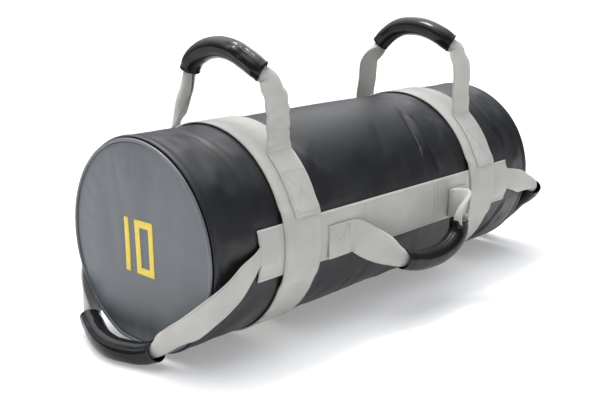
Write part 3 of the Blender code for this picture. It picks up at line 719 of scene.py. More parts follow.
# %% Number
DIGIT_HEIGHT = 0.0625
DIGIT_STROKE = 0.0082
ZERO_WIDTH = 0.0310
DIGIT_SPACE = 0.0115
DIGIT_RISE = 0.0013
DIGIT_SHIFT = 0.0055
DIGIT_LEAN = 0.028
DIGIT_CELL = 0.0025
INK = 0.0005


def digit(low, right, hollow):
    half = DIGIT_HEIGHT / 2
    bm = bmesh.new()
    bmesh.ops.create_grid(bm, x_segments=1, y_segments=1, size=0.5)
    for vert in bm.verts:
        vert.co.x = low + (right - low) * (vert.co.x + 0.5)
        vert.co.y = -half + DIGIT_HEIGHT * (vert.co.y + 0.5)
    if hollow:
        bmesh.ops.inset_region(bm, faces=bm.faces[:], thickness=DIGIT_STROKE, use_boundary=True,
                               use_even_offset=True)
        hole = [f for f in bm.faces if all(abs(v.co.y) < half - DIGIT_STROKE / 2 for v in f.verts)]
        bmesh.ops.delete(bm, geom=hole, context="FACES_ONLY")
    corners = [v for v in bm.verts if abs(abs(v.co.y) - half) < 1e-6]
    bmesh.ops.bevel(bm, geom=corners, offset=0.0014, offset_type="OFFSET", segments=3, profile=0.5,
                    affect="VERTICES", material=-1)
    return bm


def slice_fine(bm, size):
    # Cuts the flat shape into small cells, so that it can follow the cover.
    for axis, normal in ((0, (1, 0, 0)), (1, (0, 1, 0))):
        low = min(v.co[axis] for v in bm.verts)
        high = max(v.co[axis] for v in bm.verts)
        count = max(int((high - low) / size), 1)
        for i in range(1, count):
            at = Vector(normal) * (low + (high - low) * i / count)
            bmesh.ops.bisect_plane(bm, geom=bm.verts[:] + bm.edges[:] + bm.faces[:], plane_co=at,
                                   plane_no=normal)


def number(prefix, side):
    left = DIGIT_SHIFT - (DIGIT_STROKE + DIGIT_SPACE + ZERO_WIDTH) / 2
    zero = left + DIGIT_STROKE + DIGIT_SPACE
    for name, low, right in (("one", left, left + DIGIT_STROKE), ("zero", zero, zero + ZERO_WIDTH)):
        bm = digit(low, right, name == "zero")
        slice_fine(bm, DIGIT_CELL)
        tree = BVHTree.FromObject(end_covers[side], bpy.context.evaluated_depsgraph_get())
        for vert in bm.verts:
            y = (vert.co.x - DIGIT_LEAN * vert.co.y) * side
            z = AXIS_HEIGHT + DIGIT_RISE + vert.co.y
            hit = tree.ray_cast(Vector((side * 0.40, y, z)), Vector((-side, 0, 0)))[0]
            vert.co = Vector((hit.x + side * INK / 2, y, z))
        face_out(bm, side)
        item = piece(prefix + "_number_" + name, bm, yellow_print, "bag", "yellow_vinyl",
                     [prefix + "_digit_" + name])
        thicken(item, INK, 0, even=False)


for prefix, side in ENDS:
    number(prefix, side)


# %% [markdown]
# ## Webbing strips
#
# Every strip starts as a flat grid, as the webbing itself comes off a roll. One function lays a grid
# on any surface: it asks where each point of the strip goes, and it writes the strip's own
# measures to the UV map that the weave reads. The wall thickness is added with Solidify.

# %% Strip helper
def strip(name, along_steps, across_steps, length, width, place, body, stands_for, even=True,
          closed=False):
    bm = bmesh.new()
    bmesh.ops.create_grid(bm, x_segments=along_steps, y_segments=across_steps, size=0.5)
    layer = bm.loops.layers.uv.new("weave")
    for face in bm.faces:
        for loop in face.loops:
            loop[layer].uv = ((loop.vert.co.x + 0.5) * length, loop.vert.co.y * width)
    for vert in bm.verts:
        vert.co = place(vert.co.x + 0.5, vert.co.y)
    if closed:
        bmesh.ops.remove_doubles(bm, verts=bm.verts, dist=1e-5)
    item = piece(name, bm, webbing, body, "grey_webbing", stands_for)
    thicken(item, WEBBING, 0, even)
    return item


# %% [markdown]
# ## Bands
#
# The bands go right round the bag and over the side straps, so they lift there by one thickness. A
# woven edge is stiffer than the middle, which leaves the band very slightly hollow. The two ends meet
# under the bag, where they are sewn together.

# %% Bands
def band(prefix, side):
    centre = side * BAND_X

    def place(share, across):
        angle = math.tau * share - math.pi / 2
        x = centre + across * BAND_WIDTH
        radius = BAG_RADIUS + SKIN_GAP + WEBBING / 2 + band_lift(angle)
        radius += 0.0003 * (2 * across) ** 4 + 0.0003 * uneven(x * 20, angle * 2.5, centre)
        point = on_drum(x, angle, radius)
        point.z = max(point.z, WEBBING / 2)
        return point

    strip(prefix + "_band_webbing", 240, 14, math.tau * BAND_OUTER, BAND_WIDTH, place, "bag",
          [prefix + "_band"], closed=True)


for prefix, side in ENDS:
    band(prefix, side)

# %% [markdown]
# ## Side straps
#
# A strap runs along each side at mid height and ends in a square tab past each band. The end handles
# are sewn in under the tabs, so each tab swells over the folded webbing that comes out from under it.

# %% Side straps
FOLDED_WIDTH = {-1: 0.020, 1: 0.031}


def side_strap(prefix, side):
    half_angle = STRAP_HALF / BAG_RADIUS

    def place(share, across):
        x = -STRAP_END + 2 * STRAP_END * share
        angle = 2 * across * half_angle
        inside = smooth_step((abs(x) - 0.216) / 0.012)
        folded = FOLDED_WIDTH[1 if x > 0 else -1] / 2 / BAG_RADIUS
        over = 1 - smooth_step((abs(angle) - folded) / 0.05)
        radius = BAG_RADIUS + SKIN_GAP + WEBBING / 2 + 0.0020 * inside * over
        radius += 0.00035 * uneven(x * 18, angle * 6, side)
        return on_drum(x, math.pi - angle if side > 0 else angle, radius)

    strip(prefix + "_strap_webbing", 200, 16, 2 * STRAP_END, 2 * STRAP_HALF, place, "bag",
          [prefix + "_strap"])


for prefix, side in SIDES:
    side_strap(prefix, side)

# %% [markdown]
# ## Routes of the handles
#
# A handle is one length of webbing: a sewn tail, a leg, the part that is rolled up inside the grip,
# the other leg and the other tail. Its middle line is a smooth curve through listed points. The
# points are shares of the spans, as in the CAD source, so both follow the same line.

# %% Route points
# Across and up.
NEAR_TOP = [
    (-0.937, 0.257), (-0.905, 0.437), (-0.868, 0.640), (-0.795, 0.757), (-0.728, 0.796), (-0.511, 0.886),
    (-0.228, 0.97), (0.101, 0.997), (0.428, 0.932), (0.611, 0.837), (0.695, 0.717), (0.729, 0.576),
    (0.783, 0.426), (0.85, 0.276), (0.928, 0.14)]
FAR_TOP = [
    (-0.936, 0.157), (-0.924, 0.306), (-0.93, 0.477), (-0.89, 0.668), (-0.83, 0.79), (-0.749, 0.822),
    (-0.569, 0.905), (-0.35, 0.965), (-0.048, 1), (0.259, 0.974), (0.507, 0.878), (0.675, 0.765),
    (0.804, 0.616), (0.838, 0.487), (0.855, 0.35), (0.891, 0.205)]
# Along, out and down.
SIDE = [
    (-1, 0, 0), (-0.922, 0.072, 0.018), (-0.786, 0.341, 0.191), (-0.605, 0.671, 0.411),
    (-0.385, 0.88, 0.664), (-0.097, 0.94, 0.827), (0.172, 0.94, 0.882), (0.437, 0.94, 0.855),
    (0.612, 0.94, 0.755), (0.738, 0.94, 0.591), (0.786, 0.94, 0.4), (0.782, 0.94, 0.236),
    (0.796, 0.955, 0.091), (0.835, 0.97, -0.018), (0.903, 0.955, -0.082), (0.971, 0.85, -0.109),
    (1.015, 0.611, -0.091), (1.019, 0.311, -0.055), (1.004, 0.102, -0.018), (1, 0, 0)]
# Along, across and down.
NEAR_END = [
    (0, -1, 0), (0.094, -1.011, 0.063), (0.268, -1.015, 0.18), (0.482, -1.003, 0.316),
    (0.656, -0.918, 0.46), (0.763, -0.747, 0.649), (0.821, -0.575, 0.812), (0.85, -0.42, 0.929),
    (0.889, -0.288, 0.987), (0.947, -0.148, 1), (0.991, 0.016, 1), (0.966, 0.187, 1),
    (0.898, 0.35, 1), (0.811, 0.513, 0.983), (0.734, 0.661, 0.938), (0.666, 0.739, 0.83),
    (0.549, 0.824, 0.676), (0.385, 0.921, 0.451), (0.23, 0.984, 0.234), (0.094, 1.008, 0.077), (0, 1, 0)]
FAR_END = [
    (0, -1, 0), (0.152, -1.011, 0.036), (0.365, -1.026, 0.099), (0.559, -1.03, 0.144),
    (0.685, -1.023, 0.18), (0.756, -0.984, 0.261), (0.801, -0.902, 0.352), (0.821, -0.785, 0.46),
    (0.83, -0.653, 0.622), (0.85, -0.498, 0.784), (0.889, -0.342, 0.92), (0.927, -0.156, 0.983),
    (0.962, 0.047, 0.956), (0.945, 0.249, 0.938), (0.898, 0.451, 0.902), (0.821, 0.622, 0.839),
    (0.724, 0.762, 0.748), (0.617, 0.859, 0.631), (0.443, 0.932, 0.442), (0.21, 0.982, 0.216), (0, 1, 0)]

# %% [markdown]
# ## Smooth routes
#
# The curve through the points is a cubic whose slope at each point is weighted by the lengths on its
# two sides, so that it doesn't swing out beside a short step. It is then walked in even steps.

# %% Smooth routes
ROUTE_SAMPLES = 12


def smooth_route(points):
    spans = [(b - a).length for a, b in zip(points, points[1:])]
    slopes = [(b - a) / span for a, b, span in zip(points, points[1:], spans)]
    bends = [slopes[0]]
    for i in range(1, len(slopes)):
        bends.append((slopes[i - 1] * spans[i] + slopes[i] * spans[i - 1]) / (spans[i - 1] + spans[i]))
    bends.append(slopes[-1])
    route = []
    for i, span in enumerate(spans):
        for k in range(ROUTE_SAMPLES):
            t = k / ROUTE_SAMPLES
            away = (1 + 2 * t) * (1 - t) ** 2
            route.append(points[i] * away + points[i + 1] * (1 - away) +
                         bends[i] * (t * (1 - t) ** 2 * span) + bends[i + 1] * (t * t * (t - 1) * span))
    route.append(points[-1])
    return route


def walk(route, distances):
    lengths = lengths_of(route)
    made, i = [], 1
    for distance in distances:
        while i < len(route) - 1 and lengths[i] < distance:
            i += 1
        share = (distance - lengths[i - 1]) / (lengths[i] - lengths[i - 1])
        made.append(route[i - 1].lerp(route[i], share))
    return made


# %% [markdown]
# ## Directions along a handle
#
# Each step of a route gets a direction along the strip, one across it and one out of it. The
# direction across starts square to the sewn tail, is carried along without twist, and lies on the bag
# where a leg lies on the bag. It is carried from both tails, and the rest of the turn is spread over
# the grip, where the webbing is rolled up and the turn can't be seen.

# %% Directions along a handle
LEAN_START = 0.297
LEAN_RUN = 0.048
LEAN = 0.8


def tangents_of(centres):
    steps = [(b - a).normalized() for a, b in zip(centres, centres[1:])]
    return [steps[0]] + [(a + b).normalized() for a, b in zip(steps, steps[1:])] + [steps[-1]]


def lying_width(centre, tangent):
    # Flat on the bag, and leaning over its rim where the route passes the bag's end.
    out = Vector((0, centre.y, centre.z - AXIS_HEIGHT)).normalized()
    out.x = math.copysign(clamp((abs(centre.x) - LEAN_START) / LEAN_RUN) * LEAN, centre.x)
    return tangent.cross(out).normalized()


def matched(direction, reference):
    return direction * math.copysign(1, direction.dot(reference))


def carried(centres, tangents, width, lying_count):
    widths = []
    for i, tangent in enumerate(tangents):
        if i < lying_count:
            width = matched(lying_width(centres[i], tangent), width)
        width = (width - tangent * width.dot(tangent)).normalized()
        widths.append(width)
    return widths


# %% [markdown]
# ## One handle's line
#
# Everything on a handle is placed by its distance along the webbing: from the end of one tail, past
# the root where it leaves the bag, through the grip and back. One object keeps that line with its
# directions, and knows how wide the webbing is there and how far it is curled.

# %% One handle's line
# The curl inside a grip, and the length over which the webbing rolls up there.
ROLLED_UP = 2.8
ROLL_RUN = 0.012
# The length over which a folded root opens, and how far past a root a leg stands free.
UNFOLD_RUN = 0.045
ROOT_FREE = 0.03
# The shares of a leg over which its twist comes in and goes out, and its root lets go.
TWIST_IN = 0.18
TWIST_OUT = 0.35
ROOT_EASE = 0.2


class Handle:
    STEP = 0.002

    def __init__(self, points, tails, root_width, grip, twists, lying, widths, openings):
        # grip is its middle as a share of the free webbing, and its length. twists turn each leg.
        # lying is for a handle that lies against the bag. openings hold one opening for each leg:
        # the curl at the grip's mouth, the length over which it opens, and two powers that shape it.
        grip_share, grip_length = grip
        middle = smooth_route(points)
        self.before = lengths_of(tails[0] + [middle[0]])[-1]
        self.after = lengths_of(tails[1] + [middle[-1]])[-1]
        route = tails[0] + middle + tails[1][::-1]
        self.total = lengths_of(route)[-1]
        body = self.total - self.before - self.after
        self.start = self.before + body * grip_share - grip_length / 2
        self.stop = self.start + grip_length
        self.widths, self.openings = widths, openings
        count = int(self.total / self.STEP)
        self.distances = [self.total * i / count for i in range(count + 1)]
        self.centres = walk(route, self.distances)
        self.tangents = tangents_of(self.centres)
        self.turn_widths(root_width, twists, lying)

    def leg_share(self, distance):
        # 0 at a sewn end and on the tails, 1 at the grip.
        last_root = self.total - self.after
        first = (distance - self.before) / (self.start - self.before)
        return clamp(min(first, (last_root - distance) / (last_root - self.stop)))

    def turn_widths(self, root_width, twists, lying):
        front_count = sum(d < self.start for d in self.distances) if lying else 0
        back_count = sum(d > self.stop for d in self.distances) if lying else 0
        forward = carried(self.centres, self.tangents, root_width, front_count)
        backward = carried(self.centres[::-1], self.tangents[::-1], root_width, back_count)[::-1]
        middle = len(self.centres) // 2
        if forward[middle].dot(backward[middle]) < 0:
            backward = [-w for w in backward]
        cross = self.tangents[middle].dot(forward[middle].cross(backward[middle]))
        turn = math.atan2(cross, forward[middle].dot(backward[middle]))
        self.across, self.out = [], []
        for i, (tangent, distance) in enumerate(zip(self.tangents, self.distances)):
            share = clamp((distance - self.start) / (self.stop - self.start))
            leg = self.leg_share(distance)
            twist = twists[0 if i < middle else 1]
            angle = twist * smooth_step(leg / TWIST_IN) * smooth_step((1 - leg) / TWIST_OUT)
            width = backward[i]
            if share < 1:
                width = forward[i]
                angle += turn * share
            across = width * math.cos(angle) + tangent.cross(width) * math.sin(angle)
            root = lying_width(self.centres[i], Vector((1, 0, 0))) if lying else root_width
            ease = leg if lying else smooth_step(leg / ROOT_EASE)
            across = matched(root, across).lerp(across, ease).normalized()
            self.across.append(across)
            self.out.append(tangent.cross(across).normalized())

    def at(self, distance):
        place = clamp(distance / self.total) * (len(self.centres) - 1)
        i = min(int(place), len(self.centres) - 2)
        rows = (self.centres, self.across, self.out, self.tangents)
        return [row[i].lerp(row[i + 1], place - i) for row in rows]

    def leg_at(self, distance):
        # 0 on the first leg, 1 on the last.
        return int(distance >= (self.start + self.stop) / 2)

    def width_at(self, distance):
        folded, full = self.widths
        root = min(distance - self.before, self.total - self.after - distance)
        return folded + (full - folded) * smooth_step(root / UNFOLD_RUN)

    def curl_at(self, distance):
        # Half of the arc that the strip is curled through: 0 is flat, and pi would close it.
        mouth, flare, soon, late = self.openings[self.leg_at(distance)]
        away = max(self.start - distance, distance - self.stop)
        if away <= 0:
            return mouth + (ROLLED_UP - mouth) * smooth_step(-away / ROLL_RUN)
        return mouth * (1 - min(away / flare, 1) ** soon) ** late

    def gutter_signs(self, mirrored):
        # The gutter's back faces away from the bag on both legs, unless the last leg is mirrored.
        # Each leg is asked where it stands free, a little past its root.
        signs = []
        for distance, tail in ((self.before + ROOT_FREE, 0), (self.total - self.after - ROOT_FREE, -1)):
            centre, _, out, _ = self.at(distance)
            inside = Vector((self.centres[tail].x, 0, 0.12))
            signs.append(math.copysign(1, out.dot(centre - inside)))
        return signs[0], -signs[1] if mirrored else signs[1]


# %% [markdown]
# ## Handle webbing
#
# At the grip the webbing is curled into a gutter, and it flattens out over the first few
# centimetres of each leg. A gutter with a fixed arc length keeps the webbing's real width, so the
# flare looks right from every side. Shallow buckles cross the legs where they stand free.

# %% Handle webbing
def handle_webbing(prefix, handle, tails, buckles, mirrored):
    signs = handle.gutter_signs(mirrored)

    def place(share, across):
        distance = share * handle.total
        centre, width_way, out_way, _ = handle.at(distance)
        half = handle.width_at(distance) / 2
        curl = handle.curl_at(distance)
        v = 2 * across
        x, y = v * half, 0
        if curl >= 0.01:
            radius = half / curl
            x = radius * math.sin(v * curl)
            y = radius * (math.cos(v * curl) - math.sin(curl) / curl)
        for at, depth, size, skew in buckles:
            away = (distance - handle.before - at - skew * v * half) / size
            if abs(away) < 3:
                y += depth * math.exp(-away * away)
        y *= signs[handle.leg_at(distance)]
        point = centre + width_way * x + out_way * y
        point.z = max(point.z, 0.0012)
        return point

    solids = [prefix + "_webbing"] + [prefix + tail for tail in tails]
    return strip(prefix + "_handle_webbing", len(handle.distances) - 1, 12, handle.total, HANDLE_WIDTH,
                 place, None, solids, even=False)


# %% [markdown]
# ## Grips
#
# A grip is a foam tube in a tight leatherette sleeve. The sleeve is turned in at both ends, so the
# mouth has a rounded lip. Where the grip bends, its inner side is pushed together into small folds,
# and one seam runs along it on the inside. The near top grip is well used: it has dents as well.

# %% Grips
GRIP_RADIUS = 0.0129
# Distance from the grip's end, radius.
LIP = [(0.0090, 0.0112), (0.0030, 0.0113), (0.0006, 0.0116), (0.0001, 0.0122), (0.0006, 0.0127),
       (0.0020, 0.0129)]


def turned_by(turn, angle):
    return math.atan2(math.sin(turn - angle), math.cos(turn - angle))


def grip_relief(handle, distance, turn, way, seam, folds, dents):
    # How far the sleeve is out of round at one place.
    length = handle.stop - handle.start
    share = (distance - handle.start) / length
    bend = handle.at(distance + 0.008)[3] - handle.at(distance - 0.008)[3]
    inner = max(way.dot(bend.normalized()), 0) if bend.length > 1e-6 else 0
    fold = math.sin(distance / 0.0062 * math.tau + 1.5 * uneven(distance * 60, turn, 0))
    relief = 0.0002 * min(bend.length / 0.5, 1) * inner ** 1.5 * fold
    relief += 0.00035 * uneven(distance * 45, math.cos(turn) * 1.3, math.sin(turn) * 1.3)
    relief -= 0.0007 * math.exp(-(min(share, 1 - share) / 0.05) ** 2)
    relief -= 0.0006 * math.exp(-(turned_by(turn, seam) * GRIP_RADIUS / 0.0008) ** 2)
    for at, angle, size, depth in dents:
        off = turned_by(turn, angle) * GRIP_RADIUS
        gap = ((share - at) * length / size[0]) ** 2 + (off / size[1]) ** 2
        relief += depth * math.exp(-gap)
    for low, high, angle, depth, waves in folds:
        near = math.exp(-((share - (low + high) / 2) / ((high - low) / 2)) ** 4)
        off = turned_by(turn, angle)
        relief += depth * near * math.exp(-(off / 1.2) ** 2) * math.sin(off * waves)
    return relief


def grip(prefix, handle, seam, folds, dents):
    inset = LIP[-1][0]
    first, last = handle.start + inset, handle.stop - inset
    count = int((last - first) / 0.0017)
    rows = [(handle.start + d, r, False) for d, r in LIP]
    rows += [(first + (last - first) * i / count, GRIP_RADIUS, True) for i in range(1, count)]
    rows += [(handle.stop - d, r, False) for d, r in reversed(LIP)]
    bm = bmesh.new()
    bmesh.ops.create_grid(bm, x_segments=len(rows) - 1, y_segments=44, size=0.5)
    for vert in bm.verts:
        distance, radius, is_body = rows[round((vert.co.x + 0.5) * (len(rows) - 1))]
        turn = math.tau * (vert.co.y + 0.5)
        centre, width_way, out_way, _ = handle.at(distance)
        way = width_way * math.cos(turn) + out_way * math.sin(turn)
        if is_body:
            radius += grip_relief(handle, distance, turn, way, seam, folds, dents)
        vert.co = centre + way * radius
        vert.co.z = max(vert.co.z, 0.0003)
    bmesh.ops.remove_doubles(bm, verts=bm.verts, dist=1e-6)
    bmesh.ops.recalc_face_normals(bm, faces=bm.faces)
    item = piece(prefix + "_grip", bm, grip_leatherette, prefix + "_handle", "grip_leatherette",
                 [prefix + "_grip_sleeve", prefix + "_grip_core"])
    # A tube with open ends has no sure outside, so one face is checked against the middle line.
    centre = handle.at((handle.start + handle.stop) / 2)[0]
    face = min(item.data.polygons, key=lambda f: abs((f.center - centre).length - GRIP_RADIUS))
    if face.normal.dot(face.center - centre) < 0:
        item.data.flip_normals()


# %% [markdown]
# ## From the bag to a swinging handle
#
# A handle's tails are sewn to the bag and its grip swings. The webbing is one mesh from tail to tail,
# with its wall applied, and the grip is built on the same line.

# %% Join a handle
TAIL_GAP = 0.0008


def join_handle(prefix, handle, seam, tails, buckles=(), mirrored=False, folds=(), dents=()):
    # A buckle is its distance from the root, depth, width and skew. A fold in the sleeve is its two
    # ends as shares of the grip, the angle round it, its depth and its waves. A dent is its share of
    # the grip, the angle round it, its half length and half width, and its height.
    item = handle_webbing(prefix, handle, tails, buckles, mirrored)
    apply_modifiers(item)
    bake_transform(item)
    grip(prefix, handle, seam, folds, dents)


# %% [markdown]
# ## Top handles
#
# A top handle's tails lie on the band, one on the front and one on the back, each set a little
# towards one edge. The near one has its front leg in full view, with four shallow buckles in it. The
# far one is the same strip with a taller arch.

# %% Top handles
ROOT_RADIUS = 0.1286
ROOT_TURN = math.radians(47)
TAIL_TURNS = (math.radians(14), math.radians(46.6))
TAIL_RISE = 0.0026


def tail_x(centre_x, side):
    return centre_x - side * (BAND_WIDTH - HANDLE_WIDTH) / 2


def grip_between(points, first, last, trim):
    # The grip's middle as a share of the route, and its length, from the points where it ends.
    lengths = lengths_of(smooth_route(points))
    low, high = lengths[ROUTE_SAMPLES * first], lengths[ROUTE_SAMPLES * last] - trim
    return (low + high) / 2 / lengths[-1], high - low


def band_tail(x, side):
    points = []
    low, high = TAIL_TURNS
    for i in range(18):
        turn = low + (high - low) * i / 17
        angle = turn if side < 0 else math.pi - turn
        points.append(on_drum(x, angle, BAG_RADIUS + TAIL_RISE + WEBBING / 2 + band_lift(angle)))
    return points


def top_handle(prefix, centre_x, rise, shares, grip_ends, twists, openings, buckles, folds, dents):
    def beside_band(side, radius, angle):
        return Vector((tail_x(centre_x, side), side * radius * math.cos(angle),
                       AXIS_HEIGHT + radius * math.sin(angle)))

    sewn = ROOT_TURN + TAIL_GAP / ROOT_RADIUS
    roots = [beside_band(side, ROOT_RADIUS, sewn) for side in (-1, 1)]
    free = [beside_band(side, ROOT_RADIUS + 0.0005, sewn + 4 * Handle.STEP / ROOT_RADIUS) for side in (-1, 1)]
    root = roots[1]
    points = [roots[0], free[0]]
    for across, up in shares:
        splay = clamp((abs(across) - 0.70) / 0.10)
        x = centre_x + (tail_x(centre_x, math.copysign(1, across)) - centre_x) * splay
        points.append(Vector((x, root.y * across, root.z + rise * up)))
    points += [free[1], roots[1]]
    tails = [band_tail(tail_x(centre_x, side), side) for side in (-1, 1)]
    handle = Handle(points, tails, Vector((1, 0, 0)), grip_between(points, *grip_ends), twists, False,
                    (HANDLE_WIDTH, HANDLE_WIDTH), openings)
    join_handle(prefix, handle, math.pi, ("_front_tail", "_back_tail"),
                buckles, False, folds, dents)


# %% [markdown]
# ## Build the top handles
#
# Both come from the same function. On the near handle one leg twists much more than the other and
# opens out over a longer way. The far handle isn't twisted, and its two legs open alike.

# %% Build the top handles
SHORT_OPENING = (2.3, 0.034, 1, 1.4)
LONG_OPENING = (2.9, 0.075, 2, 1)
top_handle(
    "near_top", -BAND_X, 0.117, NEAR_TOP, (6, 12, 0.0025), (math.radians(6), math.radians(-32)),
    (SHORT_OPENING, LONG_OPENING),
    [(0.012, 0.0016, 0.0030, 0.1), (0.033, -0.0018, 0.0038, -0.15), (0.052, 0.0020, 0.0036, 0.12),
     (0.078, -0.0016, 0.0038, 0.1)],
    [(0.04, 0.32, 4.2, 0.0005, 13)],
    [(0.22, 3.8, (0.005, 0.003), -0.0013), (0.30, 4.3, (0.004, 0.003), -0.0013),
     (0.36, 4.0, (0.004, 0.003), -0.0011), (0.26, 4.5, (0.004, 0.004), 0.0008)])
top_handle(
    "far_top", BAND_X, 0.124, FAR_TOP, (7, 13, 0), (0, 0), (SHORT_OPENING, SHORT_OPENING),
    [(0.010, 0.0008, 0.004, 0.1), (0.034, -0.0009, 0.007, 0.15)], [(0.0, 0.2, 4.0, 0.0002, 12)], [])

# %% [markdown]
# ## Side handles
#
# A side handle is sewn flat on the strap and hangs down from it, and it curls round at its far end,
# where the webbing turns over. It folds sharply where it leaves the near row of stitches.

# %% Side handles
SIDE_ROOT = (0.128351, 0.114305)
SIDE_HALF_SPAN = 0.103
SIDE_REACH = 0.0334
SIDE_DROP = 0.055
# Where each tail starts along the bag, and how far it runs to its root.
SIDE_TAILS = ((-0.141, 0.0375), (0.1425, -0.037))
SIDE_OPENING = (1.85, 0.066, 1, 1.4)
SIDE_FOLD = (0.004, -0.0020, 0.0032, 0.1)


def side_handle(prefix, side):
    root = Vector((0, side * SIDE_ROOT[0], SIDE_ROOT[1]))
    points = [Vector((along * SIDE_HALF_SPAN, root.y + side * out * SIDE_REACH, root.z - down * SIDE_DROP))
              for along, out, down in SIDE]
    points[0].x += TAIL_GAP
    tails = [[Vector((start + run * i / 12, root.y, root.z)) for i in range(13)]
             for start, run in SIDE_TAILS]
    handle = Handle(points, tails, Vector((0, 0, 1)), (0.539, 0.142), (0, 0), False,
                    (HANDLE_WIDTH, HANDLE_WIDTH), (SIDE_OPENING, SIDE_OPENING))
    join_handle(prefix, handle, 0.0, ("_near_tail", "_far_tail"),
                [SIDE_FOLD], True)


for prefix, side in SIDES:
    side_handle(prefix + "_side", side)

# %% [markdown]
# ## End handles
#
# The end handles come out from under the tabs, folded narrow there, and lie on the floor round the
# ends of the bag.


# %% End handles
END_ROOT = (0.2523, 0.12858, 0.1243)
END_REACH = 0.1032
END_DROP = 0.1109
END_TAIL_START = 0.2165
END_TAIL_LENGTH = 0.0350


def end_handle(prefix, end, shares, grip_share, full, flare):
    root_x, root_y, root_z = END_ROOT
    points = [Vector((end * (root_x + along * END_REACH), across * root_y, root_z - down * END_DROP))
              for along, across, down in shares]
    # A tail lies under its tab on the band, and steps out where the tab ends.
    radii = [BAG_RADIUS + 0.0008 + 0.0022 * smooth_step((i / 13 - 0.8) / 0.2) for i in range(14)]
    tails = [[Vector((end * (END_TAIL_START + END_TAIL_LENGTH * i / 13), side * radius, root_z))
              for i, radius in enumerate(radii)] for side in (-1, 1)]
    opening = (2.4, flare, 1, 1.4)
    handle = Handle(points, tails, Vector((0, 0, 1)), (grip_share, 0.152), (0, 0), True,
                    (FOLDED_WIDTH[end], full), (opening, opening))
    join_handle(prefix, handle, 0.0, ("_front_tail", "_back_tail"))


end_handle("near_end", -1, NEAR_END, 0.536, 0.040, 0.060)
end_handle("far_end", 1, FAR_END, 0.335, 0.035, 0.070)

# %% [markdown]
# ## Stitches
#
# A lockstitch shows as short raised dashes. Each is a small ellipsoid, 2.8 mm long and 0.7 mm thick,
# laid end to end along a line with a gap between, one every 4.2 mm. That is a little coarser than
# real thread, so that a row can be seen. The shape is made once and its points are copied.

# %% Stitch helpers
STITCH_LENGTH = 0.0028
STITCH_RADIUS = 0.00036
STITCH_PITCH = 0.0042

bm = bmesh.new()
size = Matrix.Diagonal((STITCH_LENGTH / 2, STITCH_RADIUS, STITCH_RADIUS, 1))
bmesh.ops.create_uvsphere(bm, u_segments=6, v_segments=4, radius=1, matrix=size)
STITCH_POINTS = [v.co.copy() for v in bm.verts]
STITCH_FACES = [[v.index for v in f.verts] for f in bm.faces]
bm.free()


def add_stitch(bm, place, along, out):
    place.z = max(place.z, 0.0005)
    side = out.cross(along).normalized()
    up = along.cross(side).normalized()
    verts = [bm.verts.new(place + along * p.x + side * p.y + up * p.z) for p in STITCH_POINTS]
    for face in STITCH_FACES:
        bm.faces.new([verts[i] for i in face])


def sewn_on(rise, over_straps=False):
    # The surface that a row lies on: from a place along and an angle to a point and its normal.
    def surface(x, angle):
        radius = BAG_RADIUS + rise + (band_lift(angle) if over_straps else 0)
        return on_drum(x, angle, radius), outward(angle)

    return surface


def stitch_path(bm, surface, path):
    points = [surface(*place)[0] for place in path]
    lengths = lengths_of(points)
    count = int(lengths[-1] / STITCH_PITCH)
    k = 1
    for i in range(count):
        distance = (i + 0.5) * lengths[-1] / count
        while k < len(points) - 1 and lengths[k] < distance:
            k += 1
        share = (distance - lengths[k - 1]) / (lengths[k] - lengths[k - 1])
        a, b = path[k - 1], path[k]
        point, out = surface(a[0] + (b[0] - a[0]) * share, a[1] + (b[1] - a[1]) * share)
        add_stitch(bm, point, (points[k] - points[k - 1]).normalized(), out)


def dense(points, step=0.03):
    # Adds places between the corners of a path, so that it follows the round of the drum.
    made = [points[0]]
    for a, b in zip(points, points[1:]):
        gap = max(abs(b[0] - a[0]) / BAG_RADIUS, abs(b[1] - a[1]))
        count = max(int(gap / step), 1)
        for i in range(1, count + 1):
            made.append((a[0] + (b[0] - a[0]) * i / count, a[1] + (b[1] - a[1]) * i / count))
    return made


def ring(x):
    return [(x, math.tau * i / 240 - math.pi / 2) for i in range(241)]


def crossed_box(left, right, low, high):
    return dense([(left, low), (right, low), (right, high), (left, high), (left, low),
                  (right, high), (left, high), (right, low)])


# %% [markdown]
# ## Rows of stitches
#
# The bands have a row along each edge, the straps a row along each edge and short rows across, and
# the tabs three sides of a square. Every tail is sewn down with a box and a cross, the strongest
# pattern for webbing under load. A black row holds the seam allowance behind each rim.

# %% Stitch rows
INSET = 0.0035
RIM_ROW = 0.0105
STRAP_ROWS_ACROSS = (0.0715, 0.0785, -0.0715)
BAND_TAIL_BOX = (math.radians(16), math.radians(38))
SIDE_TAIL_BOXES = ((-0.1385, -0.1060), (0.1085, 0.1400))
SIDE_TAIL_TURN = 0.0622

grey_bm, black_bm = bmesh.new(), bmesh.new()
for _, end in ENDS:
    stitch_path(black_bm, sewn_on(-0.0003), ring(end * (BAG_END - RIM_ROW)))

for _, end in ENDS:
    for edge in (-1, 1):
        row = ring(end * BAND_X + edge * (BAND_WIDTH / 2 - INSET))
        stitch_path(grey_bm, sewn_on(SKIN_GAP + WEBBING, True), row)

turn = (STRAP_HALF - INSET) / BAG_RADIUS
inner_x = BAND_X - BAND_WIDTH / 2
for base, way in ((0, 1), (math.pi, -1)):
    low, high = base - way * turn, base + way * turn
    rows = [[(-inner_x, low), (inner_x, low)], [(-inner_x, high), (inner_x, high)]]
    rows += [[(x, low), (x, high)] for x in STRAP_ROWS_ACROSS]
    for row in rows:
        stitch_path(grey_bm, sewn_on(0.0004 + WEBBING), dense(row))
    for _, end in ENDS:
        start, stop = end * (BAND_X + BAND_WIDTH / 2 + 0.003), end * (STRAP_END - INSET)
        row = [(start, low), (stop, low), (stop, high), (start, high)]
        stitch_path(grey_bm, sewn_on(0.0006 + WEBBING), dense(row))

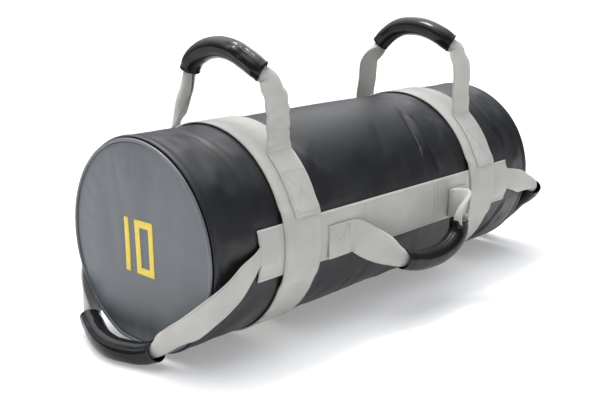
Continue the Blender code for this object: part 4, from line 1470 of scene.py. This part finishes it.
half = HANDLE_WIDTH / 2 - INSET
for _, end in ENDS:
    for _, side in SIDES:
        x = tail_x(end * BAND_X, side)
        box = crossed_box(x - half, x + half, *BAND_TAIL_BOX)
        if side > 0:
            box = [(a, math.pi - b) for a, b in box]
        stitch_path(grey_bm, sewn_on(0.0027 + WEBBING, True), box)

half = half / BAG_RADIUS
for base, way in ((0, 1), (math.pi, -1)):
    middle = base - way * SIDE_TAIL_TURN
    for left, right in SIDE_TAIL_BOXES:
        box = crossed_box(left, right, middle - half, middle + half)
        stitch_path(grey_bm, sewn_on(0.0029 + WEBBING), box)

piece("webbing_stitches", grey_bm, grey_thread, "bag", "grey_webbing")
piece("rim_stitches", black_bm, black_thread, "bag", "black_leatherette")

# %% [markdown]
# ## What is inside
#
# Under the cover are a foam sleeve and a foam disc at each end. Shredded textile fills the bag round
# two cloth pouches of sand, which carry the weight. They are spun like the CAD solids, with the
# lumps, pleats and gathers that such soft things have.


# %% Filling helper
def filling(name, profile, steps, push, press, material, slot, node, fill):
    # push says how far out each point of the spun shape goes.
    bm = spun(profile, steps)
    for vert in bm.verts:
        radius = math.hypot(vert.co.y, vert.co.z)
        if radius > 1e-4:
            stretch = 1 + push(vert.co, radius) / radius
            vert.co.y *= stretch
            vert.co.z *= stretch
    lift_to_axis(bm, press)
    bmesh.ops.recalc_face_normals(bm, faces=bm.faces)
    piece(name, bm, material, "bag", slot, [node])


def lumps(co, scale, size):
    return -size * abs(uneven(co.x * scale, co.y * scale, co.z * scale))


# %% [markdown]
# ## Foam sleeve and wadding
#
# Both are thick tubes with rounded outer edges. Only their outer sides are lumpy.

# %% Foam sleeve and wadding
def ring_wall(name, half_length, outer, inner, material, slot, node, size):
    edge = 0.002
    span = half_length - edge
    profile = [(-half_length, outer - edge)]
    profile += [(-span + 2 * span * i / 40, outer) for i in range(41)]
    profile += [(half_length, outer - edge), (half_length, inner)]
    profile += [(half_length * (1 - 2 * i / 12), inner) for i in range(1, 12)] + [(-half_length, inner)]

    def push(co, radius):
        return lumps(co, 22, size) if radius > (outer + inner) / 2 else 0

    filling(name, profile + [profile[0]], 72, push, True, material, slot, node, 0.7)


ring_wall("foam_sleeve", 0.3100, 0.1224, 0.1168, grey_foam, "grey_foam", "padding_sleeve", 0.0002)
ring_wall("wadding_body", 0.2978, 0.1162, 0.0592, wadding, "textile_wadding", "wadding_fill", 0.0015)

# %% [markdown]
# ## Foam discs, pouches and sand
#
# A foam disc is cut with a slightly domed face. A pouch is a tube of cloth with a round closed end,
# gathered at its neck into pleats, and the sand inside fills it up to the gathers.

# %% Foam discs, pouches and sand
DISC = [(0.2985, 0.0), (0.2985, 0.1130), (0.3000, 0.1145), (0.3070, 0.1145), (0.3086, 0.1130),
        (0.3104, 0.0850), (0.3134, 0.0520), (0.3150, 0.0)]
POUCH = [(0.0045, 0.0), (0.0045, 0.0300), (0.0060, 0.0420), (0.0120, 0.0540), (0.0180, 0.0575),
         (0.0700, 0.0576), (0.1300, 0.0577), (0.2000, 0.0577), (0.2500, 0.0574), (0.2640, 0.0555),
         (0.2740, 0.0440), (0.2780, 0.0200), (0.2800, 0.0088), (0.2840, 0.0078), (0.2905, 0.0088),
         (0.2905, 0.0070), (0.2850, 0.0060), (0.2785, 0.0070)]
SAND = [(0.0065, 0.0), (0.0065, 0.0290), (0.0080, 0.0400), (0.0135, 0.0515), (0.0190, 0.0550),
        (0.1000, 0.0553), (0.2000, 0.0553), (0.2600, 0.0540), (0.2700, 0.0430), (0.2755, 0.0200),
        (0.2765, 0.0)]
CLOTH_WALL = 0.0010
pouch_inner = [(x - math.copysign(CLOTH_WALL, x - 0.1), max(r - CLOTH_WALL, 0))
               for x, r in reversed(POUCH[:12])]


def smooth_side(co, radius):
    return 0


def gathered(pleat):
    # Pleats round the neck, and small lumps all over.
    def push(co, radius):
        gather = math.exp(-((abs(co.x) - 0.279) / 0.016) ** 2)
        turn = math.atan2(co.z, co.y)
        return pleat * gather * math.sin(turn * 14) * min(radius / 0.02, 1) + lumps(co, 30, 0.0012)

    return push


for prefix, side in ENDS:
    for name, outline, steps, push, press, material, slot, node, fill in (
            ("_foam_disc", DISC, 64, smooth_side, True, grey_foam, "grey_foam", "_padding_disc", 1),
            ("_pouch", POUCH + pouch_inner, 72, gathered(0.0016), False, pouch_cloth, "pouch_cloth",
             "_sand_pouch", 0.8),
            ("_sand", SAND, 72, gathered(0), False, dry_sand, "sand", "_sand_fill", 0.8)):
        filling(prefix + name, [(side * x, radius) for x, radius in outline], steps, push, press,
                material, slot, prefix + node, fill)

# %% [markdown]
# ## Sizes and finish
#
# The last cell writes down the CAD box and the dressed model's box, to compare the two.

# %% Sizes
low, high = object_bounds()
{"cad": [list(cad_low), list(cad_high)], "visual": [list(low), list(high)]}
print("grown by mm:", [round((a - b) * 1000, 1) for a, b in zip(low, cad_low)],
      [round((a - b) * 1000, 1) for a, b in zip(high, cad_high)])
